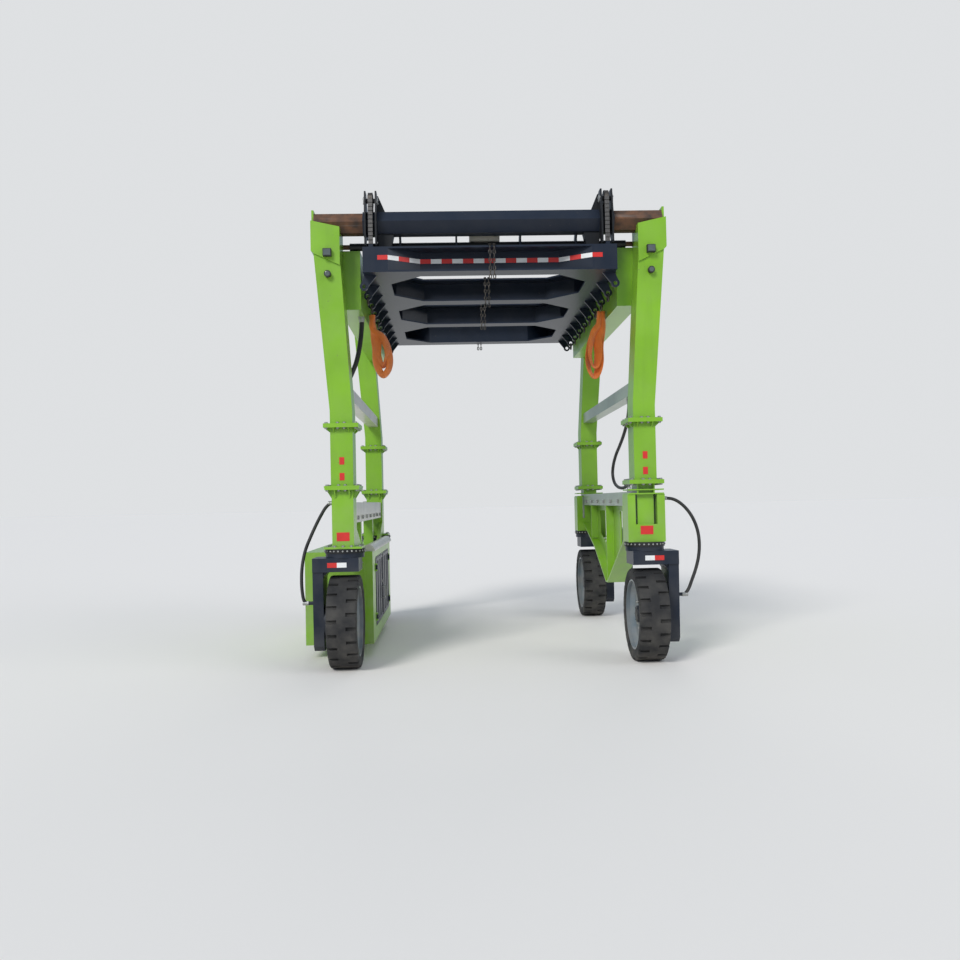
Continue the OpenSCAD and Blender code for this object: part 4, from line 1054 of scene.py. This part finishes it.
DOOR_FACE = LANE_X - 1.560
DOOR_LOW = 0.365
DOOR_HIGH = 1.250
RIB_LOW = 0.41
RIB_HIGH = 1.205
HANDLE_Y = 0.105
for end, sign in (("front", -1), ("rear", 1)):
    node = "pack_door_" + end
    y_low, y_high = sorted((sign * 0.050, sign * 1.150))
    bm = bmesh.new()
    raised_frame(bm, DOOR_FACE, 1, y_low, y_high, DOOR_LOW, DOOR_HIGH, 0.045, 0.008)
    for y in (y_low + 0.36, y_low + 0.73):
        solid_block(bm, (DOOR_FACE - 0.001, y - 0.012, RIB_LOW),
                    (DOOR_FACE + 0.007, y + 0.012, RIB_HIGH), 0.002)
    add_mesh(node + "_pressing", bm, node, navy)
    bm = bmesh.new()
    bow_handle(bm, (DOOR_FACE, sign * HANDLE_Y, 0.70), 1, 0.16, 0.040)
    turned(bm, (DOOR_FACE, sign * HANDLE_Y, 0.86), (1, 0, 0),
           [(0, 0.020), (0.008, 0.020), (0.010, 0.012)], 20)
    add_mesh(node + "_handle", bm, node, zinc, smooth=True)

pack_low, pack_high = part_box("power_pack")
bm = bmesh.new()
bm_screws = bmesh.new()
for y_low, y_high in ((-1.45, -0.10), (0.10, 1.45)):
    raised_frame(bm, pack_low.x, -1, y_low, y_high, 0.27, 1.28, 0.040, 0.006)
    louvres(bm, pack_low.x, -1, y_low + 0.15, y_high - 0.15, 0.62, 1.16, 0.036, 0.010)
    for k in range(6):
        y = y_low + 0.020 + k * (y_high - y_low - 0.040) / 5
        for z in (0.29, 1.26):
            turned(bm_screws, (pack_low.x - 0.005, y, z), (-1, 0, 0), [(0, 0.010), (0.005, 0.010)], 6)
for y, way in ((pack_low.y, -1), (pack_high.y, 1)):
    near, far = sorted((y - way * 0.001, y + way * 0.005))
    solid_block(bm, (pack_low.x + 0.10, near, 0.30), (pack_low.x + 0.77, far, 1.26), 0.002)
    for x in (pack_low.x + 0.13, pack_low.x + 0.435, pack_low.x + 0.74):
        for z in (0.33, 1.23):
            turned(bm_screws, (x, y + way * 0.005, z), (0, way, 0), [(0, 0.010), (0.005, 0.010)], 6)
add_mesh("pack_panels", bm, "left_side", lime)
add_mesh("pack_screws", bm_screws, "left_side", zinc)

# %% [markdown]
# The oil tank has a filler cap, a sight glass and two straps down its outer face.

# %% Oil tank fittings
tank_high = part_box("oil_tank")[1]
TANK_TOP = 1.520
bm = bmesh.new()
turned(bm, (tank_high.x - 0.07, 0.50, TANK_TOP - 0.001), (0, 0, 1),
       [(0, 0.045), (0.012, 0.045), (0.014, 0.036), (0.040, 0.036), (0.044, 0.030)], 24)
for y in (0.48, 1.02):
    solid_block(bm, (tank_high.x - 0.002, y - 0.02, 0.90), (tank_high.x + 0.003, y + 0.02, TANK_TOP), 0.001)
add_mesh("tank_fittings", bm, "right_side", black)
bm = bmesh.new()
solid_block(bm, (tank_high.x - 0.001, 0.74, 1.10), (tank_high.x + 0.005, 0.77, 1.34), 0.002)
add_mesh("sight_glass", bm, "right_side", lens)

# %% [markdown]
# ## Floor and light
# A plain pale floor runs so far that it meets the pale background almost unseen. The lamps are suns,
# which light near and far alike, so the floor has no bright spot: a wide soft one high in front, a
# weaker one from the side and one from behind that draws the edges. The sky that fills the shadows and
# shows in the paint is blue; only the camera sees the pale one.

# %% Studio
FLOOR_REACH = 300.0
bm = bmesh.new()
bmesh.ops.create_grid(bm, x_segments=1, y_segments=1, size=FLOOR_REACH)
pale = Finish("pale_floor")
pale.set(Base_Color=rgb(0.82, 0.78, 0.73), Roughness=0.9)
floor = add_mesh("floor", bm, None, pale.material)
floor.location.z = -0.0005

world = bpy.data.worlds.new("studio")
world.use_nodes = True
bpy.context.scene.world = world
tree = world.node_tree
sky = tree.nodes["Background"]
sky.inputs["Color"].default_value = rgb(0.66, 0.78, 0.95)
sky.inputs["Strength"].default_value = 0.50
seen = tree.nodes.new("ShaderNodeBackground")
seen.inputs["Color"].default_value = rgb(0.735, 0.75, 0.765)
seen.inputs["Strength"].default_value = 1.0
rays = tree.nodes.new("ShaderNodeLightPath")
blend = tree.nodes.new("ShaderNodeMixShader")
tree.links.new(rays.outputs["Is Camera Ray"], blend.inputs[0])
tree.links.new(sky.outputs[0], blend.inputs[1])
tree.links.new(seen.outputs[0], blend.inputs[2])
tree.links.new(blend.outputs[0], tree.nodes["World Output"].inputs["Surface"])


def lamp(name, shines, strength, spread):
    """A sun that shines along a direction; spread is the angle it fills, in degrees."""
    data = bpy.data.lights.new(name, "SUN")
    data.energy = strength
    data.angle = math.radians(spread)
    made = bpy.data.objects.new(name, data)
    made.rotation_euler = Vector(shines).to_track_quat("-Z", "Y").to_euler()
    bpy.context.scene.collection.objects.link(made)


lamp("key", (0.45, 0.75, -0.65), 2.1, 20)
lamp("side", (-0.70, 0.40, -0.40), 0.6, 40)
lamp("back", (-0.10, -0.80, -0.60), 0.5, 30)
